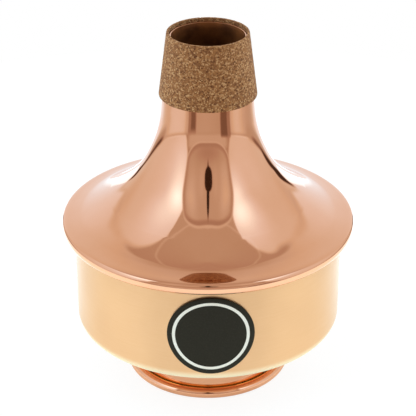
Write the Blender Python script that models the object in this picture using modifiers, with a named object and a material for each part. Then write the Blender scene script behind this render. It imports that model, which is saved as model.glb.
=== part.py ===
"""Piccolo trumpet wah-wah mute.

A spun copper bell with a cork sleeve on its neck closes a drawn brass body. A stem,
which is a tube with a small copper cup on its outer end, slides in a cork-lined
receiver in the body's floor. The mute stands on the cup's rolled edge with the stem
pushed home. Metres, +Z up, the origin on the table under the mute's axis.
"""
import math

import bmesh
import bpy
from mathutils import Matrix

MM = 0.001

# Turning and fits
FACETS = 48
ARC_STEP = math.radians(25.0)
FIT_GAP = 0.3 * MM
SHARP_ANGLE = math.radians(40.0)

# Stem cup: a spun copper bowl, mouth down, with a rolled edge
CUP_GAUGE = 0.6 * MM
CUP_MOUTH_RADIUS = 22.9 * MM
CUP_ROLL_RADIUS = 1.6 * MM
CUP_DEPTH = 14.6 * MM
CUP_SHOULDER_RADIUS = 7.5 * MM
CUP_LAND_ANGLE = math.radians(30.0)

# Stem tube: brass, flanged under the cup's crown
STEM_RADIUS = 7.5 * MM
STEM_GAUGE = 0.6 * MM
STEM_LENGTH = 36.0 * MM
STEM_FLANGE_WIDTH = 2.2 * MM

# Receiver and its cork lining in the body's floor
LINING_WALL = 1.0 * MM
RECEIVER_GAUGE = 0.6 * MM
RECEIVER_HEIGHT = 22.0 * MM
RECEIVER_FLANGE_WIDTH = 3.5 * MM
FLANGE_BEND = 0.5 * MM

# Body: a drawn brass cup whose lip turns out into the bell's hem
BODY_GAUGE = 0.7 * MM
BODY_RADIUS = 36.6 * MM
BODY_HEIGHT = 30.3 * MM
BODY_CORNER = 3.0 * MM
LIP_BEND = 0.6 * MM

# Bell: spun copper, from the hem over the dome and the horn up to the neck
BELL_GAUGE = 0.7 * MM
HEM_RADIUS = 1.8 * MM
HEM_TUCK = 0.2 * MM
DOME_SLOPE = math.radians(18.0)
DOME_PULL = 26.0 * MM
HORN_RADIUS = 17.1 * MM
HORN_HEIGHT = 17.4 * MM
HORN_SLOPE = math.radians(62.0)
HORN_PULL_DOWN = 20.0 * MM
HORN_PULL_UP = 34.0 * MM
NECK_RADIUS = 12.1 * MM
NECK_HEIGHT = 36.6 * MM
NECK_SLOPE = math.radians(82.65)
NECK_PULL = 9.6 * MM
DOME_STEPS = 11
HORN_STEPS = 9

# Cork sleeve: a strip of pressed cork wrapped round the neck
CORK_WALL = 0.7 * MM
CORK_HEIGHT = 17.4 * MM
CORK_OVERHANG = 1.0 * MM
CORK_FOOT_ROUND = 0.3 * MM
CORK_TOP_ROUND = 0.2 * MM
SEAM_WIDTH = 0.3 * MM
SEAM_AZIMUTH = math.radians(106.0)
SEAM_SKEW = math.radians(6.0)

# Badge: a round foil disc stuck on the body's front
BADGE_RADIUS = 11.6 * MM
BADGE_THICKNESS = 0.3 * MM
BADGE_HEIGHT = 14.65 * MM
BADGE_AZIMUTH = math.radians(-88.8)
BADGE_FACETS = 160

# Heights and radii that follow from the sizes above
FLOOR_Z = CUP_DEPTH + FIT_GAP
HEM_Z = FLOOR_Z + BODY_HEIGHT
HEM_CENTRE = BODY_RADIUS + HEM_RADIUS - HEM_TUCK
LIP_TOP_Z = HEM_Z + HEM_RADIUS - BELL_GAUGE - FIT_GAP
NECK_Z = HEM_Z + NECK_HEIGHT
CORK_TOP_Z = NECK_Z + CORK_HEIGHT
BELL_TOP_Z = CORK_TOP_Z - CORK_OVERHANG
LINING_BORE = STEM_RADIUS + FIT_GAP
RECEIVER_BORE = LINING_BORE + LINING_WALL + FIT_GAP
STEM_TOP_Z = CUP_DEPTH + STEM_LENGTH

COPPER = ("polished_copper", (0.83, 0.46, 0.30), 0.12, 1.0)
BRASS = ("satin_brass", (0.84, 0.62, 0.34), 0.30, 1.0)
CORK = ("pressed_cork", (0.42, 0.23, 0.11), 0.85, 0.0)
FOIL = ("black_foil", (0.03, 0.03, 0.025), 0.45, 0.0)


def clear_scene():
    """Remove every object that the file opened with."""
    for item in list(bpy.data.objects):
        bpy.data.objects.remove(item, do_unlink=True)


def new_collection(name):
    """Add a collection to the scene."""
    collection = bpy.data.collections.new(name)
    bpy.context.scene.collection.children.link(collection)
    return collection


def material(spec):
    """Return the Principled material of a (name, colour, roughness, metallic) spec."""
    name, colour, roughness, metallic = spec
    found = bpy.data.materials.get(name)
    if found:
        return found
    made = bpy.data.materials.new(name)
    made.use_nodes = True
    shader = made.node_tree.nodes["Principled BSDF"]
    shader.inputs["Base Color"].default_value = (*colour, 1.0)
    shader.inputs["Roughness"].default_value = roughness
    shader.inputs["Metallic"].default_value = metallic
    made.diffuse_color = (*colour, 1.0)
    return made


def arc(centre, radius, start, end):
    """Points on an arc in the (r, z) plane, both ends included."""
    steps = max(2, math.ceil(abs(end - start) / ARC_STEP))
    turns = (start + (end - start) * step / steps for step in range(steps + 1))
    return [(centre[0] + radius * math.cos(turn), centre[1] + radius * math.sin(turn))
            for turn in turns]


def rounded(corners):
    """Turn (r, z, radius) corners into an outline with each corner's radius on it."""
    outline = []
    for index, (r, z, radius) in enumerate(corners):
        if radius == 0.0:
            outline.append((r, z))
            continue
        before, after = corners[index - 1], corners[(index + 1) % len(corners)]
        into = math.atan2(z - before[1], r - before[0])
        out = math.atan2(after[1] - z, after[0] - r)
        bend = math.remainder(out - into, math.tau)
        side = math.copysign(math.pi / 2, bend)
        back = radius * math.tan(abs(bend) / 2)
        centre = (r - back * math.cos(into) + radius * math.cos(into + side),
                  z - back * math.sin(into) + radius * math.sin(into + side))
        outline += arc(centre, radius, into - side, into - side + bend)
    return outline


def hermite(start, start_pull, end, end_pull, steps):
    """Points of a cubic between two places, each with its direction and pull."""
    points = []
    for step in range(steps + 1):
        t = step / steps
        weights = (2 * t**3 - 3 * t**2 + 1, t**3 - 2 * t**2 + t, 3 * t**2 - 2 * t**3, t**3 - t**2)
        parts = (start, start_pull, end, end_pull)
        points.append(tuple(sum(w * p[axis] for w, p in zip(weights, parts)) for axis in (0, 1)))
    return points


def toward(angle, length):
    """A vector in the (r, z) plane."""
    return (length * math.cos(angle), length * math.sin(angle))


def outline_object(name, outline, closed, collection):
    """Add an object whose mesh is the outline, in the XZ plane at +X."""
    mesh = bpy.data.meshes.new(name)
    edges = [(index, index + 1) for index in range(len(outline) - 1)]
    if closed:
        edges.append((len(outline) - 1, 0))
    mesh.from_pydata([(r, 0.0, z) for r, z in outline], edges, [])
    made = bpy.data.objects.new(name, mesh)
    collection.objects.link(made)
    return made


def settle(made, finish):
    """Replace an object's mesh by its evaluated one, shaded, with its material."""
    graph = bpy.context.evaluated_depsgraph_get()
    mesh = bpy.data.meshes.new_from_object(made.evaluated_get(graph))
    made.modifiers.clear()
    made.data = mesh
    mesh.name = made.name
    mesh.materials.clear()
    mesh.materials.append(material(finish))
    mesh.shade_smooth()
    mesh.set_sharp_from_angle(angle=SHARP_ANGLE)
    return made


def add_screw(made, steps):
    """Turn an outline once round Z."""
    screw = made.modifiers.new("Turn", "SCREW")
    screw.steps = screw.render_steps = steps
    screw.use_merge_vertices = True
    screw.merge_threshold = 0.00001


def spun_sheet(name, outline, gauge, side, finish, collection):
    """Turn an open outline and give it a gauge, behind its face (-1) or before it (1)."""
    made = outline_object(name, outline, False, collection)
    add_screw(made, FACETS)
    wall = made.modifiers.new("Gauge", "SOLIDIFY")
    wall.thickness = gauge
    wall.offset = side
    wall.use_even_offset = True
    return settle(made, finish)


def turned_ring(name, section, finish, collection, facets=FACETS):
    """Turn a closed section into a ring."""
    made = outline_object(name, section, True, collection)
    add_screw(made, facets)
    return settle(made, finish)


def cut(made, cutter, operation, finish):
    """Cut or keep what the cutter covers, and show the cutter as a guide."""
    boolean = made.modifiers.new("Cut", "BOOLEAN")
    boolean.operation = operation
    boolean.object = cutter
    cutter.display_type = "WIRE"
    cutter.hide_render = True
    return settle(made, finish)


def cutter_object(name, build, matrix, collection):
    """Add a cutter from a bmesh builder, placed in its mesh."""
    work = bmesh.new()
    build(work)
    bmesh.ops.transform(work, matrix=matrix, verts=work.verts)
    mesh = bpy.data.meshes.new(name)
    work.to_mesh(mesh)
    work.free()
    made = bpy.data.objects.new(name, mesh)
    collection.objects.link(made)
    return made


def neck_radius(z):
    """Outer radius of the straight cone of the neck, carried up or down to a height."""
    return NECK_RADIUS - (z - NECK_Z) / math.tan(NECK_SLOPE)


def bell_outline():
    """Outer face of the bell, from the neck's top edge down to the hem's tucked end."""
    hem_start = math.pi / 2 - DOME_SLOPE
    hem_end = -math.pi + math.acos((HEM_CENTRE - BODY_RADIUS - FIT_GAP) / HEM_RADIUS)
    hem = arc((HEM_CENTRE, HEM_Z), HEM_RADIUS, hem_start, hem_end)
    neck = (NECK_RADIUS, NECK_Z)
    horn = (HORN_RADIUS, HEM_Z + HORN_HEIGHT)
    upper = hermite(neck, toward(-NECK_SLOPE, NECK_PULL),
                    horn, toward(-HORN_SLOPE, HORN_PULL_UP), HORN_STEPS)
    lower = hermite(horn, toward(-HORN_SLOPE, HORN_PULL_DOWN),
                    hem[0], toward(-DOME_SLOPE, DOME_PULL), DOME_STEPS)
    return [(neck_radius(BELL_TOP_Z), BELL_TOP_Z)] + upper + lower[1:] + hem[1:]


def make_bell(collection):
    """The copper bell in one piece: neck, horn, dome and hem."""
    return spun_sheet("copper_bell", bell_outline(), BELL_GAUGE, -1, COPPER, collection)


def make_cork_sleeve(collection, cutters):
    """The cork strip round the neck, with its butt seam at the back."""
    def face(z, depth):
        return neck_radius(z) + FIT_GAP + depth

    section = rounded([
        (face(CORK_TOP_Z, CORK_WALL), CORK_TOP_Z, CORK_TOP_ROUND),
        (face(NECK_Z, CORK_WALL), NECK_Z, CORK_FOOT_ROUND),
        (face(NECK_Z, 0.0), NECK_Z, 0.0),
        (face(CORK_TOP_Z, 0.0), CORK_TOP_Z, 0.0),
    ])
    sleeve = turned_ring("cork_sleeve", section, CORK, collection)
    depth = 4.0 * (CORK_WALL + FIT_GAP)
    middle = 0.5 * (NECK_Z + CORK_TOP_Z)
    place = (Matrix.Rotation(SEAM_AZIMUTH, 4, "Z")
             @ Matrix.Translation((neck_radius(middle), 0.0, middle))
             @ Matrix.Rotation(SEAM_SKEW, 4, "X")
             @ Matrix.Diagonal((depth, SEAM_WIDTH, 1.3 * CORK_HEIGHT, 1.0)))
    slot = cutter_object("seam_cutter", lambda work: bmesh.ops.create_cube(work, size=1.0),
                         place, cutters)
    return cut(sleeve, slot, "DIFFERENCE", CORK)


def make_body(collection):
    """The brass body: out-turned lip, wall, rounded corner and bored floor."""
    lip_z = LIP_TOP_Z - BODY_GAUGE
    outline = rounded([
        (HEM_CENTRE, lip_z, 0.0),
        (BODY_RADIUS, lip_z, LIP_BEND),
        (BODY_RADIUS, FLOOR_Z, BODY_CORNER),
        (RECEIVER_BORE, FLOOR_Z, 0.0),
    ])
    return spun_sheet("brass_body", outline, BODY_GAUGE, -1, BRASS, collection)


def make_badge(collection, cutters):
    """A blank round disc that follows the body's wall."""
    inner = BODY_RADIUS + FIT_GAP
    outer = inner + BADGE_THICKNESS
    middle = FLOOR_Z + BADGE_HEIGHT
    low, high = middle - 1.1 * BADGE_RADIUS, middle + 1.1 * BADGE_RADIUS
    band = turned_ring("badge", [(outer, high), (outer, low), (inner, low), (inner, high)],
                       FOIL, collection, BADGE_FACETS)
    place = (Matrix.Translation((0.0, 0.0, middle))
             @ Matrix.Rotation(BADGE_AZIMUTH, 4, "Z")
             @ Matrix.Translation((outer, 0.0, 0.0))
             @ Matrix.Rotation(math.pi / 2, 4, "Y"))

    def disc(work):
        bmesh.ops.create_cone(work, cap_ends=True, segments=FACETS, radius1=BADGE_RADIUS,
                              radius2=BADGE_RADIUS, depth=BODY_RADIUS)

    return cut(band, cutter_object("badge_cutter", disc, place, cutters), "INTERSECT", FOIL)


def make_receiver(collection):
    """The brass tube that stands on the floor inside and carries the lining."""
    outer = RECEIVER_BORE + RECEIVER_GAUGE
    seat_z = FLOOR_Z + BODY_GAUGE + FIT_GAP
    flange_z = seat_z + RECEIVER_GAUGE
    outline = rounded([
        (outer, seat_z + RECEIVER_HEIGHT, 0.0),
        (outer, flange_z, FLANGE_BEND),
        (outer + RECEIVER_FLANGE_WIDTH, flange_z, 0.0),
    ])
    return spun_sheet("receiver_tube", outline, RECEIVER_GAUGE, -1, BRASS, collection)


def make_lining(collection):
    """The cork ring that grips the stem."""
    low = FLOOR_Z + FIT_GAP
    high = FLOOR_Z + BODY_GAUGE + RECEIVER_HEIGHT
    outer = LINING_BORE + LINING_WALL
    section = [(outer, high), (outer, low), (LINING_BORE, low), (LINING_BORE, high)]
    return turned_ring("cork_lining", section, CORK, collection)


def make_stem_tube(collection):
    """The stem's tube, with the flange that carries the cup."""
    flange_z = CUP_DEPTH - CUP_GAUGE - FIT_GAP
    outline = rounded([
        (STEM_RADIUS, STEM_TOP_Z, 0.0),
        (STEM_RADIUS, flange_z, FLANGE_BEND),
        (STEM_RADIUS + STEM_FLANGE_WIDTH, flange_z, 0.0),
    ])
    return spun_sheet("stem_tube", outline, STEM_GAUGE, -1, BRASS, collection)


def make_stem_cup(collection):
    """The copper bowl: bored crown, shoulder, wall and the rolled edge it stands on."""
    roll = (CUP_MOUTH_RADIUS - CUP_ROLL_RADIUS, CUP_ROLL_RADIUS * math.cos(CUP_LAND_ANGLE / 2))
    wall = roll[0] - CUP_ROLL_RADIUS
    crown_z = CUP_DEPTH - CUP_GAUGE
    outline = rounded([
        (STEM_RADIUS + FIT_GAP, crown_z, 0.0),
        (wall, crown_z, CUP_SHOULDER_RADIUS - CUP_GAUGE),
        (wall, roll[1], 0.0),
    ])
    land_start = 1.5 * math.pi - CUP_LAND_ANGLE / 2
    land_end = 1.5 * math.pi + CUP_LAND_ANGLE / 2
    tip = math.tau + math.acos((CUP_GAUGE + 0.5 * FIT_GAP - CUP_ROLL_RADIUS) / CUP_ROLL_RADIUS)
    outline += arc(roll, CUP_ROLL_RADIUS, math.pi, land_start)[1:]
    outline += arc(roll, CUP_ROLL_RADIUS, land_end, tip)
    return spun_sheet("stem_cup", outline, CUP_GAUGE, 1, COPPER, collection)


def main():
    """Build the mute, with the stem's pieces on an empty on its slide's axis."""
    clear_scene()
    mute = new_collection("piccolo_wah_wah_mute")
    cutters = new_collection("cutters")
    make_bell(mute)
    make_cork_sleeve(mute, cutters)
    make_body(mute)
    make_badge(mute, cutters)
    make_receiver(mute)
    make_lining(mute)
    slide = bpy.data.objects.new("stem_slide", None)
    slide.location = (0.0, 0.0, FLOOR_Z)
    mute.objects.link(slide)
    for piece in (make_stem_tube(mute), make_stem_cup(mute)):
        piece.parent = slide
        piece.matrix_parent_inverse = Matrix.Translation((0.0, 0.0, -FLOOR_Z))


main()
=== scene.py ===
"""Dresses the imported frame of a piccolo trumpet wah-wah mute.

The bell, cork sleeve, body, badge, receiver and stem are turned again as fine pieces on the
frame's own sizes, each with its finish, and stand in a white light tent.
"""

import logging
import math
from collections.abc import Callable, Iterator
from contextlib import contextmanager
from dataclasses import dataclass
from enum import Enum

import bpy
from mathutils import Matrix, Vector


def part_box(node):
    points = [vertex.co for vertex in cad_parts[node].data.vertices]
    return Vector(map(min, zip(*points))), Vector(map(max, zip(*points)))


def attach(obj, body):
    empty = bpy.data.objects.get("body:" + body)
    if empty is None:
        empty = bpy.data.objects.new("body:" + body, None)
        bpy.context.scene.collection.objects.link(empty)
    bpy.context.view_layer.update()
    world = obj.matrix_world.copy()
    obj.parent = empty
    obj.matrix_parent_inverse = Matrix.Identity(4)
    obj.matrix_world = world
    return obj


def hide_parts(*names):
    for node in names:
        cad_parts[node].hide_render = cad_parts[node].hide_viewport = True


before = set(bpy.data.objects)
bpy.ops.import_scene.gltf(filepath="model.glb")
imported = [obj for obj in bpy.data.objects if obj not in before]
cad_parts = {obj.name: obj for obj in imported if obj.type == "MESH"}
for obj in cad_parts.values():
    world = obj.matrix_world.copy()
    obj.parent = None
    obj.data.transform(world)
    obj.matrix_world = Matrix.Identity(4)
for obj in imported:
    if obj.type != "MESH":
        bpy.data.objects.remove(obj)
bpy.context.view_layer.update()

log = logging.getLogger("mute")

MM = 0.001
FIT_GAP = 0.3 * MM
MERGE_REACH = 0.001 * MM
SEAT_BITE = 0.02 * MM
SOLDER_BOW = (1.42 * math.pi, 1.08 * math.pi)
SMOOTH_ANGLE = 34.0
BEVEL_ANGLE = 60.0
NOISE_REACH = (0.3, 0.7)

Point = tuple[float, float]
Colour = tuple[float, float, float, float]
Object = bpy.types.Object
Material = bpy.types.Material
Socket = bpy.types.NodeSocket
Tree = bpy.types.NodeTree


class Rides(Enum):
    """The frame's bodies that a piece can ride on."""

    MUTE = "mute"
    STEM = "stem"


class Wall(Enum):
    """The side of its outline that a sheet's gauge lies on."""

    BEHIND = -1.0
    BEFORE = 1.0


class Picked(Enum):
    """What is selected as a mesh starts to be edited."""

    ALL = "SELECT"
    NONE = "DESELECT"
    SAME = ""


# Outlines in the (r, z) plane


def arc(centre: Point, radius: float, start: float, end: float, steps: int) -> list[Point]:
    """Lays points on an arc, both ends included.

    Args:
        centre: the arc's middle.
        radius: its radius.
        start: the angle it starts at.
        end: the angle it ends at.
        steps: how many spans it is divided in.

    Returns:
        The points.
    """
    turns = [start + (end - start) * step / steps for step in range(steps + 1)]
    return [(centre[0] + radius * math.cos(t), centre[1] + radius * math.sin(t)) for t in turns]


def rounded(corners: list[tuple[float, float, float]], steps: int = 8) -> list[Point]:
    """Turns (r, z, radius) corners into an outline.

    Args:
        corners: the corners, each with its own radius, or 0 for a sharp one.
        steps: how many spans each round corner gets.

    Returns:
        The outline's points.
    """
    outline: list[Point] = []
    for index, (r, z, radius) in enumerate(corners):
        if radius == 0.0:
            outline.append((r, z))
            continue
        before, after = corners[index - 1], corners[(index + 1) % len(corners)]
        into = math.atan2(z - before[1], r - before[0])
        out = math.atan2(after[1] - z, after[0] - r)
        bend = math.remainder(out - into, math.tau)
        side = math.copysign(math.pi / 2, bend)
        back = radius * math.tan(abs(bend) / 2)
        centre = (r - back * math.cos(into) + radius * math.cos(into + side),
                  z - back * math.sin(into) + radius * math.sin(into + side))
        outline += arc(centre, radius, into - side, into - side + bend, steps)
    return outline


def toward(angle: float, length: float) -> Point:
    """Returns a vector in the (r, z) plane."""
    return (length * math.cos(angle), length * math.sin(angle))


def hermite(start: Point, start_pull: Point, end: Point, end_pull: Point,
            steps: int) -> list[Point]:
    """Lays points on a cubic between two places.

    Args:
        start: where it starts.
        start_pull: its direction and strength there.
        end: where it ends.
        end_pull: its direction and strength there.
        steps: how many spans it is divided in.

    Returns:
        The points.
    """
    points = []
    parts = (start, start_pull, end, end_pull)
    for step in range(steps + 1):
        t = step / steps
        weights = (2 * t**3 - 3 * t**2 + 1, t**3 - 2 * t**2 + t, 3 * t**2 - 2 * t**3, t**3 - t**2)
        points.append(tuple(sum(w * p[axis] for w, p in zip(weights, parts)) for axis in (0, 1)))
    return points


def steady_bends(knots: tuple[Point, ...]) -> list[float]:
    """Finds how steeply a curve runs through each knot so that it never overshoots one.

    Args:
        knots: the knots, in order along the first axis.

    Returns:
        The rate at each knot.
    """
    lengths = [after[0] - before[0] for before, after in zip(knots, knots[1:])]
    rates = [(after[1] - before[1]) / (after[0] - before[0])
             for before, after in zip(knots, knots[1:])]
    bends = [rates[0]]
    for length_a, length_b, rate_a, rate_b in zip(lengths, lengths[1:], rates, rates[1:]):
        if rate_a * rate_b <= 0.0:
            bends.append(0.0)
            continue
        share_a, share_b = 2.0 * length_b + length_a, length_b + 2.0 * length_a
        bends.append((share_a + share_b) / (share_a / rate_a + share_b / rate_b))
    return bends + [rates[-1]]


def divided(outline: list[Point], longest: float) -> list[Point]:
    """Divides an outline's long spans.

    Args:
        outline: the points.
        longest: the longest span to leave.

    Returns:
        The outline with points added on its straight spans.
    """
    points = [outline[0]]
    for before, after in zip(outline, outline[1:]):
        spans = max(1, math.ceil(math.dist(before, after) / longest))
        for step in range(1, spans + 1):
            share = step / spans
            points.append((before[0] + share * (after[0] - before[0]),
                           before[1] + share * (after[1] - before[1])))
    return points


# Work on a piece's mesh


def deselect() -> None:
    """Leaves no object selected."""
    bpy.ops.object.select_all(action="DESELECT")


def take(piece: Object) -> None:
    """Makes a piece the only selected and active object.

    Args:
        piece: the piece.
    """
    deselect()
    piece.select_set(True)
    bpy.context.view_layer.objects.active = piece


@contextmanager
def editing(picked: Picked = Picked.ALL) -> Iterator[None]:
    """Holds the active piece in edit mode.

    Args:
        picked: what is selected at the start.

    Yields:
        Nothing, while the piece is in edit mode.
    """
    bpy.ops.object.mode_set(mode="EDIT")
    if picked is not Picked.SAME:
        bpy.ops.mesh.select_all(action=picked.value)
    yield
    bpy.ops.object.mode_set(mode="OBJECT")


def pick_vertices(piece: Object, wanted: Callable[[Vector], bool]) -> None:
    """Selects some of a piece's vertices and nothing else.

    Args:
        piece: the active piece.
        wanted: says of a place whether its vertex is selected.
    """
    with editing(Picked.NONE):
        bpy.ops.mesh.select_mode(type="VERT")
    for vertex in piece.data.vertices:
        vertex.select = wanted(vertex.co)


def flip(piece: Object) -> None:
    """Turns a piece's faces round.

    Args:
        piece: the piece.
    """
    take(piece)
    with editing():
        bpy.ops.mesh.flip_normals()


def apply_modifier(piece: Object, kind: str, **settings: object) -> None:
    """Adds a modifier to a piece and applies it.

    Args:
        piece: the piece.
        kind: the modifier's type.
        settings: its settings.
    """
    take(piece)
    modifier = piece.modifiers.new(kind.title(), kind)
    for name, value in settings.items():
        setattr(modifier, name, value)
    bpy.ops.object.modifier_apply(modifier=modifier.name)


def shade(piece: Object, degrees: float = SMOOTH_ANGLE) -> None:
    """Shades a piece smooth wherever it bends less than an angle."""
    take(piece)
    bpy.ops.object.shade_smooth_by_angle(angle=math.radians(degrees))


def soften(piece: Object, width: float, degrees: float = SMOOTH_ANGLE) -> None:
    """Rounds a piece's sharp edges by a width and shades it smooth."""
    apply_modifier(piece, "BEVEL", width=width, segments=2, limit_method="ANGLE",
                   angle_limit=math.radians(BEVEL_ANGLE))
    shade(piece, degrees)


@dataclass(frozen=True)
class Lathe:
    """Turns outlines round the mute's axis.

    Attributes:
        facets: how many steps a full turn has.
    """

    facets: int

    def draw(self, name: str, outline: list[Point], closed: bool = False) -> Object:
        """Draws an outline as a path of edges at +X.

        Args:
            name: the piece's name.
            outline: its points.
            closed: whether the last point joins the first.

        Returns:
            The piece.
        """
        deselect()
        r, z = outline[0]
        bpy.ops.mesh.primitive_plane_add(size=MM, location=(r, 0.0, z))
        piece = bpy.context.object
        piece.name = piece.data.name = name
        bpy.ops.object.transform_apply(location=True, rotation=False, scale=False)
        path = outline + outline[:1] if closed else outline
        with editing():
            bpy.ops.mesh.merge(type="CENTER")
            for before, after in zip(path, path[1:]):
                step = (after[0] - before[0], 0.0, after[1] - before[1])
                bpy.ops.mesh.extrude_region_move(TRANSFORM_OT_translate={"value": step})
            bpy.ops.mesh.select_all(action="SELECT")
            bpy.ops.mesh.remove_doubles(threshold=MERGE_REACH)
        return piece

    def spin(self, piece: Object) -> None:
        """Spins a drawn path once round the axis, with its faces turned outwards.

        Args:
            piece: the active piece.
        """
        with editing():
            bpy.ops.mesh.spin(steps=self.facets, angle=math.tau, center=(0.0, 0.0, 0.0),
                              axis=(0.0, 0.0, 1.0), use_auto_merge=True)
            bpy.ops.mesh.select_all(action="SELECT")
            bpy.ops.mesh.remove_doubles(threshold=MERGE_REACH)
            bpy.ops.mesh.normals_make_consistent(inside=False)

    def ring(self, name: str, section: list[Point]) -> Object:
        """Turns a closed section.

        Args:
            name: the piece's name.
            section: its points, with the outside on the left of their order.

        Returns:
            The shaded piece.
        """
        piece = self.draw(name, section, closed=True)
        self.spin(piece)
        shade(piece)
        return piece

    def sheet(self, name: str, outline: list[Point], gauge: float, edge: float,
              side: Wall = Wall.BEHIND) -> Object:
        """Turns an open outline and gives it a sheet's gauge.

        Args:
            name: the piece's name.
            outline: its points.
            gauge: the sheet's thickness.
            edge: how far its edges are rounded.
            side: the side that the gauge lies on.

        Returns:
            The spun sheet.
        """
        piece = self.draw(name, outline)
        self.spin(piece)
        self.face(piece, outline)
        apply_modifier(piece, "SOLIDIFY", thickness=gauge, offset=side.value,
                       use_even_offset=True)
        shade(piece)
        soften(piece, edge)
        return piece

    def fillet(self, name: str, edge: float, seat: float, width: float, way: float) -> Object:
        """Runs solder round a flange's edge.

        Args:
            name: the piece's name.
            edge: the flange's radius.
            seat: the height of the sheet that it is soldered on.
            width: how wide the solder is.
            way: 1 where it stands on that sheet, -1 where it hangs under it.

        Returns:
            The shaded piece.
        """
        edge, seat = edge + SEAT_BITE, seat + way * SEAT_BITE
        start, end = (way * turn for turn in SOLDER_BOW)
        bow = arc((edge + width, seat + way * width), width, start, end, 6)
        return self.ring(name, bow + [(edge, seat)])

    @staticmethod
    def face(piece: Object, outline: list[Point]) -> None:
        """Turns a sheet's faces to the left of its outline's order.

        Args:
            piece: the turned sheet.
            outline: the points it was turned from.
        """
        (r0, z0), (r1, z1) = outline[0], outline[1]
        left = Vector((z0 - z1, 0.0, r1 - r0))
        middle = Vector((0.5 * (r0 + r1), 0.0, 0.5 * (z0 + z1)))
        nearest = min(piece.data.polygons, key=lambda face: (face.center - middle).length)
        if nearest.normal.dot(left) < 0.0:
            flip(piece)


def settle(piece: Object, node: str, body: Rides, finish: Material) -> None:
    """Puts a piece in its node's place, on its body and in its finish.

    Args:
        piece: the piece.
        node: the frame's node that it stands for, or an empty string.
        body: the body that it rides on.
        finish: the material, for a piece that has none yet.
    """
    if not piece.data.materials:
        piece.data.materials.append(finish)
    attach(piece, body.value)
    if node:
        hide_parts(node)
    log.info("%s: %d faces, on %s", piece.name, len(piece.data.polygons), body.value)


# Finishes


def hex_colour(code: str) -> Colour:
    """Turns an sRGB hex colour to linear RGBA.

    Args:
        code: six hex digits.

    Returns:
        The linear colour, opaque.
    """
    parts = [int(code[index:index + 2], 16) / 255.0 for index in (0, 2, 4)]
    linear = [p / 12.92 if p <= 0.04045 else ((p + 0.055) / 1.055) ** 2.4 for p in parts]
    return (linear[0], linear[1], linear[2], 1.0)


def add_node(tree: Tree, kind: str, inputs: dict | list | tuple = (), output: int | str = 0,
             **settings: object) -> Socket | None:
    """Adds a node with its settings, values and links.

    Args:
        tree: the node tree.
        kind: the node's type, without its first word.
        inputs: a value or an output socket for each input, in order, or by name or index.
        output: the output to return, by name or index.
        settings: the node's own settings.

    Returns:
        The output socket, or None where the node has none.
    """
    node = tree.nodes.new("ShaderNode" + kind)
    for name, value in settings.items():
        setattr(node, name, value)
    for key, value in inputs.items() if isinstance(inputs, dict) else enumerate(inputs):
        if isinstance(value, Socket):
            tree.links.new(value, node.inputs[key])
        else:
            node.inputs[key].default_value = value
    return node.outputs[output] if len(node.outputs) else None


def set_stops(colour: Socket, stops: tuple[tuple[float, str], ...], end: float = 1.0) -> None:
    """Gives a colour ramp its stops.

    Args:
        colour: the ramp's output.
        stops: the place and the colour of each.
        end: the place at the ramp's own end.
    """
    elements = colour.node.color_ramp.elements
    for index in range(len(elements), len(stops)):
        elements.new(index / len(stops))
    for element, (place, code) in zip(list(elements), stops):
        element.position = place / end
        element.color = hex_colour(code)


def new_material(name: str) -> tuple[Material, Tree]:
    """Starts a material with an empty tree.

    Args:
        name: the material's name.

    Returns:
        The material and its tree.
    """
    made = bpy.data.materials.new(name)
    made.use_nodes = True
    made.node_tree.nodes.clear()
    return made, made.node_tree


def ring_vector(tree: Tree, place: Socket, across: float = 0.0) -> Socket:
    """Adds a coordinate that is the same all round the axis but for a slow drift.

    Args:
        tree: the node tree.
        place: the place on the piece.
        across: how fast it drifts across the piece, against 1 along r and z.

    Returns:
        The (r, z, drift) vector in metres.
    """
    flat = add_node(tree, "VectorMath", (place, (1.0, 1.0, 0.0)), operation="MULTIPLY")
    radius = add_node(tree, "VectorMath", (flat,), "Value", operation="LENGTH")
    parts = add_node(tree, "SeparateXYZ", (place,)).node.outputs
    drift = add_node(tree, "Math", (parts["X"], across), operation="MULTIPLY")
    return add_node(tree, "CombineXYZ", (radius, parts["Z"], drift))


@dataclass(frozen=True)
class Finish:
    """What a piece is made of, as a material of procedural nodes."""

    name: str

    def surface(self, tree: Tree, place: Socket) -> dict[str, object]:
        """Returns the shader's inputs, given the tree and the place on the piece."""
        raise NotImplementedError

    def material(self) -> Material:
        """Builds the material.

        Returns:
            The material.
        """
        made, tree = new_material(self.name)
        place = add_node(tree, "TexCoord", output="Object")
        shader = add_node(tree, "BsdfPrincipled", self.surface(tree, place))
        add_node(tree, "OutputMaterial", {"Surface": shader})
        return made


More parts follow.
